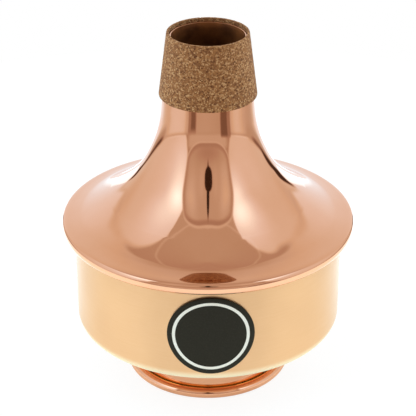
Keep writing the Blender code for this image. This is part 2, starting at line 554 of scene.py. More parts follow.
@dataclass(frozen=True)
class SpunCopper(Finish):
    """Copper sheet, spun over a former, polished and lacquered.

    The eye sees a warm pink mirror, crossed by hair-fine rings from the spinner's tool and
    the buff, with the lacquer a touch thicker here and there. Round a crease a painted
    reflection is deep orange, for the light that bounces between the copper faces there.

    Attributes:
        crease: how far from the axis and how high a crease lies, if the sheet has one.
        painted_reflection_reach: how far the painted orange reflection reaches from there.
        painted_reflection_metal: how much of a mirror the copper stays under the painted
            reflection.
    """

    name: str = "spun_copper"
    colour: str = "EFB598"
    deep_colour: str = "EAAC8B"
    roughness: float = 0.035
    haze_roughness: float = 0.025
    ring_pitch: float = 0.45 * MM
    ring_depth: float = 0.00012 * MM
    haze_width: float = 9.0 * MM
    # The colour of the painted reflection round the crease.
    crease_painted_light_colour: str = "FFB650"
    crease: Point | None = None
    painted_reflection_reach: float = 1.9 * MM
    painted_reflection_metal: float = 0.82

    def surface(self, tree: Tree, place: Socket) -> dict[str, object]:
        """Adds the rings, the haze and the painted reflection round the crease.

        Args:
            tree: the material's tree.
            place: the place on the piece.

        Returns:
            The shader's inputs.
        """
        rings = add_node(tree, "TexNoise",
                         {"Vector": ring_vector(tree, place, 0.04),
                          "Scale": 1.0 / self.ring_pitch, "Detail": 2.0, "Roughness": 0.6})
        haze = add_node(tree, "TexNoise",
                        {"Vector": place, "Scale": 1.0 / self.haze_width, "Detail": 3.0})
        tint = add_node(tree, "Mix",
                        {0: haze, 6: hex_colour(self.colour), 7: hex_colour(self.deep_colour)},
                        2, data_type="RGBA")
        rough = add_node(tree, "MapRange", (haze, *NOISE_REACH, self.roughness,
                                            self.roughness + self.haze_roughness))
        metal = 1.0
        if self.crease is not None:
            # Painted reflection: near the crease the copper turns deep orange and mirrors less,
            # for light bounced between its faces.
            gap = add_node(tree, "VectorMath", (ring_vector(tree, place), (*self.crease, 0.0)),
                           "Value", operation="DISTANCE")
            share = add_node(tree, "MapRange",
                             (gap, self.painted_reflection_reach, 0.5 * self.painted_reflection_reach),
                             interpolation_type="SMOOTHSTEP")
            tint = add_node(tree, "Mix", {0: share, 6: tint, 7: hex_colour(self.crease_painted_light_colour)},
                            2, data_type="RGBA")
            metal = add_node(tree, "MapRange", (share, 0.0, 1.0, 1.0, self.painted_reflection_metal))
        bump = add_node(tree, "Bump",
                        {"Strength": 1.0, "Distance": self.ring_depth, "Height": rings})
        return {"Base Color": tint, "Metallic": metal, "Roughness": rough, "Normal": bump}


@dataclass(frozen=True)
class MottledFinish(Finish):
    """A finish of two colours that lie in clouds, with a fine relief.

    Attributes:
        colour: the colour between the clouds.
        cloud_colour: the clouds' colour.
        cloud_width: how wide they are.
        cloud_detail: how ragged their edges are.
        cloud_start: where in the noise they start and where they are full.
        cloud_most: how much of their colour they have at most.
        metal: how much of a metal it is.
        roughness: how matt it is.
        sheen: how strongly it mirrors where it isn't a metal.
        relief: how deep the relief is.
    """

    colour: str
    cloud_colour: str
    cloud_width: float
    cloud_detail: float = 3.0
    cloud_start: Point = (0.5, 0.8)
    cloud_most: float = 1.0
    metal: float = 0.0
    roughness: float = 0.5
    sheen: float = 0.5
    relief: float = 0.004 * MM

    def grooves(self, tree: Tree, place: Socket, clouds: Socket) -> Socket:
        """Returns the relief's height, which is the clouds' own where nothing else is said."""
        return clouds

    def shine(self, tree: Tree, height: Socket) -> float | Socket:
        """Returns how matt it is, which is the same all over where nothing else is said."""
        return self.roughness

    def surface(self, tree: Tree, place: Socket) -> dict[str, object]:
        """Adds the clouds and the relief.

        Args:
            tree: the material's tree.
            place: the place on the piece.

        Returns:
            The shader's inputs.
        """
        clouds = add_node(tree, "TexNoise", {"Vector": place, "Scale": 1.0 / self.cloud_width,
                                             "Detail": self.cloud_detail})
        share = add_node(tree, "MapRange", (clouds, *self.cloud_start, 0.0, self.cloud_most))
        tint = add_node(tree, "Mix",
                        {0: share, 6: hex_colour(self.colour), 7: hex_colour(self.cloud_colour)},
                        2, data_type="RGBA")
        height = self.grooves(tree, place, clouds)
        bump = add_node(tree, "Bump",
                        {"Strength": 1.0, "Distance": self.relief, "Height": height})
        return {"Base Color": tint, "Metallic": self.metal,
                "Roughness": self.shine(tree, height), "Specular IOR Level": self.sheen,
                "Normal": bump}


@dataclass(frozen=True)
class RawCopper(MottledFinish):
    """The copper sheet's inner side, as it was annealed and spun, never polished.

    The eye sees a dull red brown, darker where the oxide is thick, with faint rings.
    """

    name: str = "raw_copper"
    colour: str = "9C5D2E"
    cloud_colour: str = "5A2E14"
    cloud_width: float = 6.0 * MM
    cloud_detail: float = 5.0
    cloud_start: Point = (0.35, 0.7)
    metal: float = 0.7
    roughness: float = 0.55
    ring_pitch: float = 0.6 * MM

    def grooves(self, tree: Tree, place: Socket, clouds: Socket) -> Socket:
        """Returns the height of the rings that the spinner's tool left."""
        return add_node(tree, "TexNoise", {"Vector": ring_vector(tree, place, 0.05),
                                           "Scale": 1.0 / self.ring_pitch, "Detail": 3.0})


@dataclass(frozen=True)
class PrintedFoil(MottledFinish):
    """Vinyl foil, printed matt black, with a pale ring left in the print.

    The eye sees a flat black with a warm cast, a soft sheen, and a fine mottle in the ink.
    """

    name: str = "printed_foil"
    colour: str = "1F1A10"
    cloud_colour: str = "29241A"
    cloud_width: float = 0.35 * MM
    cloud_start: Point = (0.4, 0.75)
    cloud_most: float = 0.8
    roughness: float = 0.42
    sheen: float = 0.16


@dataclass(frozen=True)
class SoftSolder(MottledFinish):
    """Tin solder, run into a joint with a torch and wiped.

    The eye sees a dull silver fillet with a slightly lumpy surface.
    """

    name: str = "soft_solder"
    colour: str = "B9B6AE"
    cloud_colour: str = "8C7C66"
    cloud_width: float = 1.2 * MM
    cloud_detail: float = 2.0
    cloud_most: float = 0.7
    metal: float = 1.0
    roughness: float = 0.34
    relief: float = 0.05 * MM


@dataclass(frozen=True)
class BrushedBrass(Finish):
    """Brass sheet, drawn to a cup and brushed round on a lathe, then lacquered.

    The eye sees a satin gold wall whose highlights run up and down it, with lines round it
    that are finer than a hair. A brown painted shadow lies in the crease under the hem, and
    a pale painted highlight on the bottom corner.

    Attributes:
        crease: the height where the painted shadow starts and where it is full.
        painted_shadow_most: how dark the painted shadow is there.
        painted_highlight_heights: where the painted highlight ends and where it is full.
        painted_highlight_radii: how far from the axis it starts and where it is full.
    """

    name: str = "brushed_brass"
    colour: str = "DFB28C"
    line_colour: str = "DBAC84"
    # The painted shadow's brown under the hem, and the painted highlight's pale colour on the
    # corner.
    crease_painted_light_colour: str = "A67B54"
    painted_highlight_colour: str = "F8EACF"
    roughness: float = 0.34
    patch_roughness: float = 0.03
    anisotropy: float = 0.75
    line_pitch: float = 0.14 * MM
    line_depth: float = 0.00025 * MM
    patch_width: float = 14.0 * MM
    crease: Point = (42.2 * MM, 43.4 * MM)
    painted_shadow_most: float = 0.85
    painted_highlight_heights: Point = (18.4 * MM, 15.9 * MM)
    painted_highlight_radii: Point = (33.8 * MM, 34.6 * MM)

    def surface(self, tree: Tree, place: Socket) -> dict[str, object]:
        """Adds the brushed lines, the corner's painted highlight and the hem's painted shadow.

        Args:
            tree: the material's tree.
            place: the place on the piece.

        Returns:
            The shader's inputs.
        """
        lines = add_node(tree, "TexNoise",
                         {"Vector": ring_vector(tree, place, 0.03),
                          "Scale": 1.0 / self.line_pitch, "Detail": 4.0, "Roughness": 0.7})
        share = add_node(tree, "MapRange", (lines, 0.35, 0.8))
        tint = add_node(tree, "Mix",
                        {0: share, 6: hex_colour(self.colour), 7: hex_colour(self.line_colour)},
                        2, data_type="RGBA")
        spot = add_node(tree, "SeparateXYZ", (ring_vector(tree, place),)).node.outputs
        outer = add_node(tree, "MapRange", (spot["X"], *self.painted_highlight_radii))
        # Painted light: a brown painted shadow under the hem and a pale painted highlight on the
        # bottom corner.
        painted_light_marks = ((self.crease, self.painted_shadow_most, self.crease_painted_light_colour),
                (self.painted_highlight_heights, outer, self.painted_highlight_colour))
        for reach, most, code in painted_light_marks:
            near = add_node(tree, "MapRange", (spot["Y"], *reach),
                            interpolation_type="SMOOTHSTEP")
            share = add_node(tree, "Math", (near, most), operation="MULTIPLY")
            tint = add_node(tree, "Mix", {0: share, 6: tint, 7: hex_colour(code)}, 2,
                            data_type="RGBA")
        patches = add_node(tree, "TexNoise",
                           {"Vector": place, "Scale": 1.0 / self.patch_width, "Detail": 2.0})
        rough = add_node(tree, "MapRange",
                         (patches, *NOISE_REACH, self.roughness - self.patch_roughness,
                          self.roughness + self.patch_roughness))
        bump = add_node(tree, "Bump",
                        {"Strength": 1.0, "Distance": self.line_depth, "Height": lines})
        tangent = add_node(tree, "Tangent", direction_type="RADIAL", axis="Z")
        return {"Base Color": tint, "Metallic": 1.0, "Roughness": rough,
                "Anisotropic": self.anisotropy, "Anisotropic Rotation": 0.25,
                "Tangent": tangent, "Normal": bump}


@dataclass(frozen=True)
class DrawnBrass(MottledFinish):
    """Brass tube as it comes off the draw bench.

    The eye sees a duller yellow than the polished parts, with lines along the tube and a
    faint brown bloom where it has aged.

    Attributes:
        rough_reach: how rough it is between its lines and on them.
    """

    name: str = "drawn_brass"
    colour: str = "DDBB7C"
    cloud_colour: str = "B08A52"
    cloud_width: float = 5.0 * MM
    cloud_detail: float = 4.0
    cloud_start: Point = (0.5, 0.85)
    cloud_most: float = 0.6
    metal: float = 1.0
    relief: float = 0.002 * MM
    rough_reach: Point = (0.22, 0.38)
    line_width: float = 0.35 * MM
    line_length: float = 12.0 * MM

    def grooves(self, tree: Tree, place: Socket, clouds: Socket) -> Socket:
        """Adds the lines that the draw bench left.

        Args:
            tree: the material's tree.
            place: the place on the piece.
            clouds: the bloom's clouds, not used here.

        Returns:
            The lines' height.
        """
        stretch = self.line_width / self.line_length
        along = add_node(tree, "Mapping", {"Vector": place, "Scale": (1.0, 1.0, stretch)})
        return add_node(tree, "TexNoise",
                        {"Vector": along, "Scale": 1.0 / self.line_width, "Detail": 3.0})

    def shine(self, tree: Tree, height: Socket) -> Socket:
        """Returns how matt the tube is, rougher on its lines than between them."""
        return add_node(tree, "MapRange", (height, 0.0, 1.0, *self.rough_reach))


@dataclass(frozen=True)
class PressedCork(Finish):
    """Granulated cork, pressed with a binder, cut to a strip and sanded.

    The eye sees tan, brown and dark grains of half to one and a half millimetres packed
    together, pits between them, and pale flecks where the sanding cut a grain open.

    Attributes:
        grain: how wide its grains are.
        shades: how much of the grains each colour has, from where it starts.
        wobble: how far the grains' outlines wander, against their width.
        wobble_scale: how much finer than the grains they wander.
        speck_scale: how much finer than the grains the dark specks are.
        speck_start: where in their noise the specks start and where they are full.
        speck_most: how dark they are at most.
        pit_reach: how far from a grain's edge it is dark.
        pit_most: how dark it is at the edge.
        pit_depth: how deep the pits are.
    """

    name: str = "pressed_cork"
    grain: float = 0.38 * MM
    dark: str = "683A1C"
    shades: tuple[tuple[float, str], ...] = (
        (0.0, "683A1C"), (0.18, "966038"), (0.62, "BC7E49"), (0.92, "E4AC76"),
    )
    wobble: float = 0.7
    wobble_scale: float = 1.4
    speck_scale: float = 3.2
    speck_start: Point = (0.38, 0.72)
    speck_most: float = 0.75
    pit_reach: float = 0.10
    pit_most: float = 0.5
    pit_depth: float = 0.05 * MM
    roughness: float = 0.82
    sheen: float = 0.3

    def surface(self, tree: Tree, place: Socket) -> dict[str, object]:
        """Adds the grains, the specks and the pits between the grains.

        Args:
            tree: the material's tree.
            place: the place on the piece.

        Returns:
            The shader's inputs.
        """
        wobble = add_node(tree, "TexNoise",
                          {"Vector": place, "Scale": self.wobble_scale / self.grain,
                           "Detail": 2.0}, "Color")
        spread = add_node(tree, "VectorMath", (wobble, (0.5, 0.5, 0.5)), operation="SUBTRACT")
        shift = add_node(tree, "VectorMath", {0: spread, "Scale": self.wobble * self.grain},
                         operation="SCALE")
        moved = add_node(tree, "VectorMath", (place, shift), operation="ADD")
        grains = {"Vector": moved, "Scale": 1.0 / self.grain}
        cells = add_node(tree, "TexVoronoi", grains, "Color")
        pits = add_node(tree, "TexVoronoi", grains, "Distance", feature="DISTANCE_TO_EDGE")
        tint = add_node(tree, "ValToRGB", (add_node(tree, "SeparateColor", (cells,)),))
        set_stops(tint, self.shades)
        speck = add_node(tree, "TexNoise",
                         {"Vector": place, "Scale": self.speck_scale / self.grain,
                          "Detail": 4.0, "Roughness": 0.65})
        specks = add_node(tree, "MapRange", (speck, *self.speck_start, 0.0, self.speck_most))
        edges = add_node(tree, "MapRange", (pits, 0.0, self.pit_reach, self.pit_most, 0.0))
        for share in (specks, edges):
            tint = add_node(tree, "Mix", {0: share, 6: tint, 7: hex_colour(self.dark)}, 2,
                            data_type="RGBA")
        height = add_node(tree, "MapRange", (pits, 0.0, 0.3, 0.0, 0.6))
        total = add_node(tree, "Math", (height, speck), operation="ADD")
        bump = add_node(tree, "Bump",
                        {"Strength": 1.0, "Distance": self.pit_depth, "Height": total})
        return {"Base Color": tint, "Roughness": self.roughness, "Normal": bump,
                "Specular IOR Level": self.sheen}


# The mute's pieces


@dataclass
class Bell:
    """The copper bell: neck, horn, dome and the hem rolled over the body's lip.

    Attributes:
        lathe: what spins it.
        gauge: the sheet's thickness.
        hem_radius: the hem's outer radius in section.
        hem_tuck: how far the hem's inner side is let into the wall's line.
        rim_drop: how far the widest ring lies under the hem's middle.
        edge_gauge: how thin the neck's edge is dressed.
        edge_height: how far down from the top its inside is dressed.
        hem_sag: how much deeper the hem hangs than a round one.
        steepness: how steep the dome is, in degrees, at each length in from the widest ring.
        rise: the length of one step along the dome.
        least_steps: how many steps it has at least between two of those lengths.
        horn_pull_up: how far the horn's foot pulls the curve above it.
        neck_radius: the neck's radius at its foot.
        neck_height: its foot's height over the hem's middle.
        neck_slope: how steep its cone is.
        neck_pull: how far its foot pulls the curve under it.
        horn_steps: how many spans the horn's curve has.
        hem_steps: how many spans the hem has.
        cone_span: the longest span on its cone.
        edge_round: how far its edges are rounded.
        ease: how often the curves' joint is smoothed.
        ease_reach: how far it is smoothed from above the hem's middle to below the neck's foot.
    """

    lathe: Lathe
    gauge: float = 0.7 * MM
    hem_radius: float = 1.8 * MM
    hem_tuck: float = 0.2 * MM
    rim_drop: float = 0.25 * MM
    edge_gauge: float = 0.28 * MM
    edge_height: float = 0.2 * MM
    hem_sag: float = 1.12
    steepness: tuple[Point, ...] = (
        (0.0, 90.0), (0.5 * MM, 78.1), (1.0 * MM, 63.2), (1.4 * MM, 33.0), (1.8 * MM, 17.35),
        (2.3 * MM, 13.6), (2.9 * MM, 11.8), (3.7 * MM, 13.1), (4.6 * MM, 14.9),
        (5.6 * MM, 16.5), (6.0 * MM, 17.6), (6.8 * MM, 23.7), (8.5 * MM, 29.3), (11.0 * MM, 31.9),
        (14.0 * MM, 34.2), (17.5 * MM, 37.6), (21.0 * MM, 42.2), (25.0 * MM, 49.5),
        (29.0 * MM, 59.9),
    )
    rise: float = 0.3 * MM
    least_steps: int = 6
    horn_pull_up: float = 34.0 * MM
    neck_radius: float = 12.1 * MM
    neck_height: float = 36.6 * MM
    neck_slope: float = math.radians(82.65)
    neck_pull: float = 9.6 * MM
    horn_steps: int = 56
    hem_steps: int = 22
    cone_span: float = 2.0 * MM
    edge_round: float = 0.12 * MM
    ease: int = 30
    ease_reach: Point = (7.0 * MM, 2.5 * MM)

    def __post_init__(self) -> None:
        """Reads where the bell sits from the frame."""
        low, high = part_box("copper_bell")
        self.top_z = high[2]
        self.rim_radius = high[0]
        self.hem_centre = high[0] - self.hem_radius
        self.hem_z = low[2] + self.hem_radius
        self.neck_z = self.hem_z + self.neck_height

    def cone_radius(self, z: float) -> float:
        """Returns the neck cone's outer radius at a height."""
        return self.neck_radius - (z - self.neck_z) / math.tan(self.neck_slope)

    def dome(self) -> list[Point]:
        """Lays the dome up from the widest ring, by how steep it is at each length.

        Returns:
            Its points, from the widest ring in to the horn's foot.
        """
        points = [(self.rim_radius, self.hem_z - self.rim_drop)]
        bends = steady_bends(self.steepness)
        spans = zip(self.steepness, self.steepness[1:], bends, bends[1:])
        for before, after, bend_before, bend_after in spans:
            length = after[0] - before[0]
            steps = max(self.least_steps, round(length / self.rise))
            curve = hermite(before, (length, bend_before * length),
                            after, (length, bend_after * length), steps)
            for (_, steep_a), (_, steep_b) in zip(curve, curve[1:]):
                angle = math.radians(0.5 * (steep_a + steep_b))
                r, z = points[-1]
                step = length / steps
                points.append((r - step * math.cos(angle), z + step * math.sin(angle)))
        return points

    def outline(self) -> list[Point]:
        """Lays the bell's outer face.

        Returns:
            Its points, from the neck's edge down to the hem's tucked end.
        """
        wall = self.hem_centre + self.hem_tuck - self.hem_radius
        hem_end = -math.pi + math.acos((self.hem_centre - wall - FIT_GAP) / self.hem_radius)
        middle = self.hem_z - self.rim_drop
        hem = [(r, middle + self.hem_sag * (z - middle))
               for r, z in arc((self.hem_centre, middle), self.hem_radius, 0.0, hem_end,
                               self.hem_steps)]
        lower = self.dome()[::-1]
        horn_slope = math.radians(self.steepness[-1][1])
        neck = (self.neck_radius, self.neck_z)
        upper = hermite(neck, toward(-self.neck_slope, self.neck_pull),
                        lower[0], toward(-horn_slope, self.horn_pull_up), self.horn_steps)
        cone = divided([(self.cone_radius(self.top_z), self.top_z), neck], self.cone_span)
        return cone + upper[1:] + lower[1:] + hem[1:]

    def relax(self, piece: Object) -> None:
        """Eases the drawn path where the horn's two curves meet, for its reflections' sake.

        Args:
            piece: the active piece.
        """
        low, high = self.hem_z + self.ease_reach[0], self.neck_z - self.ease_reach[1]
        pick_vertices(piece, lambda place: low < place.z < high)
        with editing(Picked.SAME):
            bpy.ops.mesh.vertices_smooth(factor=0.5, repeat=self.ease)

    def thin_edge(self, piece: Object) -> None:
        """Dresses the inside of the neck's edge out, so that the edge is thin.

        Args:
            piece: the active piece.
        """
        outer = self.cone_radius(self.top_z)
        inside = outer - 0.5 * self.gauge
        foot = self.top_z - self.edge_height
        pick_vertices(piece, lambda place: place.z > foot and place.xy.length < inside)
        share = (outer - self.edge_gauge) / (outer - self.gauge / math.sin(self.neck_slope))
        with editing(Picked.SAME):
            bpy.ops.transform.resize(value=(share, share, 1.0), center_override=(0.0, 0.0, 0.0))

    def dress(self, copper: Material, raw_copper: Material) -> None:
        """Spins the bell and settles it in its finishes.

        Args:
            copper: the polished copper.
            raw_copper: the copper inside.
        """
        outline = self.outline()
        piece = self.lathe.draw("bell", outline)
        self.relax(piece)
        self.lathe.spin(piece)
        self.lathe.face(piece, outline)
        for material in (copper, raw_copper):
            piece.data.materials.append(material)
        apply_modifier(piece, "SOLIDIFY", thickness=self.gauge, offset=Wall.BEHIND.value,
                       use_even_offset=True, material_offset=1)
        self.thin_edge(piece)
        soften(piece, self.edge_round)
        settle(piece, "copper_bell", Rides.MUTE, copper)


@dataclass
class CorkSleeve:
    """The strip of pressed cork round the neck, with its butt seam at the back.

    Attributes:
        bell: the bell whose neck it is wrapped round.
        wall: how thick it is.
        foot_round: how round its edges are at the foot, outside and inside.
        top_round: the same at the top.
        smooth: how much it bends at most, in degrees, where it is shaded smooth.
        seam_azimuth: where its seam is.
        seam_skew: how far the seam leans.
        seam_width: how wide it gapes.
        seam_web: how much cork is left behind it.
        blade_share: how tall the blade that cuts it is, against the strip.
        blade_cuts: how often the blade is divided each way.
        grain: how wide the lumps of its surface are.
        relief: how high they are.
        span: how long its mesh's edges are.
    """

    bell: Bell
    wall: float = 0.7 * MM
    foot_round: Point = (0.3 * MM, 0.1 * MM)
    top_round: Point = (0.25 * MM, 0.15 * MM)
    smooth: float = 50.0
    seam_azimuth: float = math.radians(106.0)
    seam_skew: float = math.radians(6.0)
    seam_width: float = 0.42 * MM
    seam_web: float = 0.2 * MM
    blade_share: float = 1.4
    blade_cuts: int = 3
    grain: float = 0.45 * MM
    relief: float = 0.06 * MM
    span: float = 0.28 * MM

    def face(self, z: float, depth: float) -> float:
        """Returns the radius at a height and a depth in the cork."""
        return self.bell.cone_radius(z) + FIT_GAP + depth

    def cut_seam(self, piece: Object, middle: float, height: float) -> None:
        """Cuts the thin gap where the strip's two ends meet.

        Args:
            piece: the sleeve.
            middle: the height of its middle.
            height: how tall it is.
        """
        deselect()
        bpy.ops.mesh.primitive_cube_add(size=1.0)
        blade = bpy.context.object
        blade.name = "seam_blade"
        blade.scale = (2.0 * (self.wall - self.seam_web), self.seam_width,
                       self.blade_share * height)
        bpy.ops.object.transform_apply(location=False, rotation=False, scale=True)
        with editing():
            bpy.ops.mesh.subdivide(number_cuts=self.blade_cuts)
        reach = self.face(middle, self.wall)
        lean = self.bell.neck_slope - math.pi / 2
        blade.rotation_euler = (self.seam_skew, lean, self.seam_azimuth)
        blade.location = (reach * math.cos(self.seam_azimuth),
                          reach * math.sin(self.seam_azimuth), middle)
        apply_modifier(piece, "BOOLEAN", operation="DIFFERENCE", object=blade)
        bpy.data.objects.remove(blade, do_unlink=True)

    def roughen(self, piece: Object) -> None:
        """Raises and sinks the sleeve's surface by its grains.

        Args:
            piece: the sleeve.
        """
        grains = bpy.data.textures.new("cork_grains", "VORONOI")
        grains.noise_scale = self.grain
        grains.weight_1 = 1.0
        apply_modifier(piece, "DISPLACE", texture=grains, texture_coords="LOCAL",
                       strength=-self.relief, mid_level=0.35)

    def dress(self, cork: Material) -> None:
        """Wraps the strip, cuts its seam, roughens it and settles it in its finish.

        Args:
            cork: the cork's material.
        """
        low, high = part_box("cork_sleeve")
        foot, top = low[2], high[2]
        section = rounded([
            (self.face(top, self.wall), top, self.top_round[0]),
            (self.face(foot, self.wall), foot, self.foot_round[0]),
            (self.face(foot, 0.0), foot, self.foot_round[1]),
            (self.face(top, 0.0), top, self.top_round[1]),
        ], steps=3)
        section = divided(section + section[:1], self.span)[:-1]
        lathe = Lathe(round(math.tau * self.bell.neck_radius / self.span))
        piece = lathe.draw("cork_sleeve_strip", section, closed=True)
        lathe.spin(piece)
        self.cut_seam(piece, 0.5 * (foot + top), top - foot)
        self.roughen(piece)
        shade(piece, self.smooth)
        settle(piece, "cork_sleeve", Rides.MUTE, cork)


@dataclass
class Body:
    """The drawn brass body and the badge on its front.

    Attributes:
        lathe: what spins it.
        gauge: the sheet's thickness.
        radius: the wall's outer radius.
        corner: its bottom corner's radius.
        lip_bend: the radius of the bend under the lip.
        edge_round: how far the sheet's edges are rounded.
        span: the longest span on its outline.
        badge_radius: the badge's radius.
        badge_thickness: its thickness.
        badge_height: how high its middle is over the floor.
        badge_azimuth: where its middle is.
        badge_facets: how many corners its outline has.
        badge_rings: how many rings its middle is divided in.
        badge_round: how far its edge is rounded.
        badge_smooth: how much it bends at most, in degrees, where it is shaded smooth.
        ring_radius: the pale ring's outer radius.
        ring_width: its width.
    """

    lathe: Lathe
    gauge: float = 0.7 * MM
    radius: float = 36.6 * MM
    corner: float = 3.0 * MM
    lip_bend: float = 0.6 * MM
    edge_round: float = 0.12 * MM
    span: float = 2.0 * MM
    badge_radius: float = 11.45 * MM
    badge_thickness: float = 0.3 * MM
    badge_height: float = 14.65 * MM
    badge_azimuth: float = math.radians(-88.8)
    badge_facets: int = 128
    badge_rings: int = 9
    badge_round: float = 0.08 * MM
    badge_smooth: float = 40.0
    ring_radius: float = 10.1 * MM
    ring_width: float = 0.8 * MM

    def build_cup(self) -> Object:
        """Draws the cup: lip, wall, rounded corner and bored floor.

        Returns:
            The piece.
        """
        low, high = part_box("brass_body")
        lip_z = high[2] - self.gauge
        outline = rounded([
            (high[0], lip_z, 0.0),
            (self.radius, lip_z, self.lip_bend),
            (self.radius, low[2], self.corner),
            (Receiver.bore, low[2], 0.0),
        ], steps=10)
        return self.lathe.sheet("body_cup", divided(outline, self.span), self.gauge,
                                self.edge_round)

    def build_badge(self, middle: float) -> Object:
        """Makes the blank badge: a flat foil disc, divided where its pale ring lies.

        Args:
            middle: the height of its middle.

        Returns:
            The piece.
        """
        deselect()
        bpy.ops.mesh.primitive_circle_add(vertices=self.badge_facets, radius=self.badge_radius,
                                          fill_type="NGON", location=(0.0, 0.0, middle),
                                          rotation=(math.pi / 2, 0.0, 0.0))
        piece = bpy.context.object
        piece.name = piece.data.name = "badge_disc"
        bpy.ops.object.transform_apply(location=True, rotation=True, scale=True)
        inner = self.ring_radius - self.ring_width
        radii = [self.badge_radius, self.ring_radius]
        radii += [inner * (1.0 - step / self.badge_rings) for step in range(self.badge_rings)]
        with editing():
            for outer, radius in zip(radii, radii[1:]):
                bpy.ops.mesh.inset(
                    thickness=(outer - radius) * math.cos(math.pi / self.badge_facets))
            bpy.ops.mesh.poke()
        return piece

    def bend_badge(self, piece: Object, middle: float) -> None:
        """Lays the badge on the wall and gives it its thickness and soft edge.

        Args:
            piece: the flat badge, with the ring's material in its second slot.
            middle: the height of its middle.
        """
        outer = self.radius + FIT_GAP + self.badge_thickness
        azimuth_shift = self.badge_azimuth + math.pi / 2
        for polygon in piece.data.polygons:
            across = math.hypot(polygon.center.x, polygon.center.z - middle)
            on_ring = self.ring_radius - self.ring_width < across < self.ring_radius
            polygon.material_index = 1 if on_ring else 0
        for vertex in piece.data.vertices:
            turn = math.asin(vertex.co.x / outer) + azimuth_shift
            vertex.co.x = outer * math.sin(turn)
            vertex.co.y = -outer * math.cos(turn)
        if piece.data.polygons[0].normal.y > 0.0:
            flip(piece)
        apply_modifier(piece, "SOLIDIFY", thickness=self.badge_thickness, offset=-1.0)
        soften(piece, self.badge_round, self.badge_smooth)

    def dress(self, brass: Material, foil: Material, ring: Material) -> None:
        """Builds the cup and the badge and settles them in their finishes.

        Args:
            brass: the cup's material.
            foil: the badge's black.
            ring: the badge's pale ring.
        """
        settle(self.build_cup(), "brass_body", Rides.MUTE, brass)
        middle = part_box("brass_body")[0][2] + self.badge_height
        badge = self.build_badge(middle)
        for material in (foil, ring):
            badge.data.materials.append(material)
        self.bend_badge(badge, middle)
        settle(badge, "badge", Rides.MUTE, foil)


@dataclass
class Receiver:
    """The tube on the body's floor, inside, with the cork ring that grips the stem.

    Attributes:
        lathe: what spins it.
        bore: the tube's inner radius.
        gauge: its thickness.
        flange_bend: the radius of the bend at its foot.
        edge_round: how far its edges are rounded.
        span: the longest span on its outline.
        lining_round: how round the cork ring's edges are, outside and inside.
        lining_span: the longest span on the ring's section.
        fillet: how wide the solder round its flange is.
    """

    lathe: Lathe
    bore: float = 9.1 * MM
    gauge: float = 0.6 * MM
    flange_bend: float = 0.5 * MM
    edge_round: float = 0.15 * MM
    span: float = 2.0 * MM
    lining_round: Point = (0.15 * MM, 0.3 * MM)
    lining_span: float = 1.0 * MM
    fillet: float = 0.9 * MM

    def build_tube(self) -> Object:
        """Spins the flanged tube.

        Returns:
            The piece.
        """
        low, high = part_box("receiver_tube")
        outer = self.bore + self.gauge
        outline = rounded([
            (outer, high[2], 0.0),
            (outer, low[2] + self.gauge, self.flange_bend),
            (high[0], low[2] + self.gauge, 0.0),
        ])
        return self.lathe.sheet("receiver", divided(outline, self.span), self.gauge,
                                self.edge_round)

    def build_lining(self) -> Object:
        """Makes the cork ring.

        Returns:
            The piece.
        """
        low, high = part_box("cork_lining")
        inner = Stem.tube_radius + FIT_GAP
        section = rounded([
            (high[0], high[2], self.lining_round[0]),
            (high[0], low[2], self.lining_round[0]),
            (inner, low[2], self.lining_round[1]),
            (inner, high[2], self.lining_round[1]),
        ], steps=3)
        section = divided(section + section[:1], self.lining_span)[:-1]
        return self.lathe.ring("lining_ring", section)

    def build_solder(self) -> Object:
        """Returns the solder round the flange, on the body's floor."""
        low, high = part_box("receiver_tube")
        return self.lathe.fillet("receiver_solder", high[0], low[2] - FIT_GAP, self.fillet, 1.0)

    def dress(self, brass: Material, cork: Material, solder: Material) -> None:
        """Builds the tube, the ring and the solder, and settles them in their finishes.

        Args:
            brass: the tube's material.
            cork: the ring's material.
            solder: the fillet's material.
        """
        settle(self.build_tube(), "receiver_tube", Rides.MUTE, brass)
        settle(self.build_lining(), "cork_lining", Rides.MUTE, cork)
        settle(self.build_solder(), "", Rides.MUTE, solder)


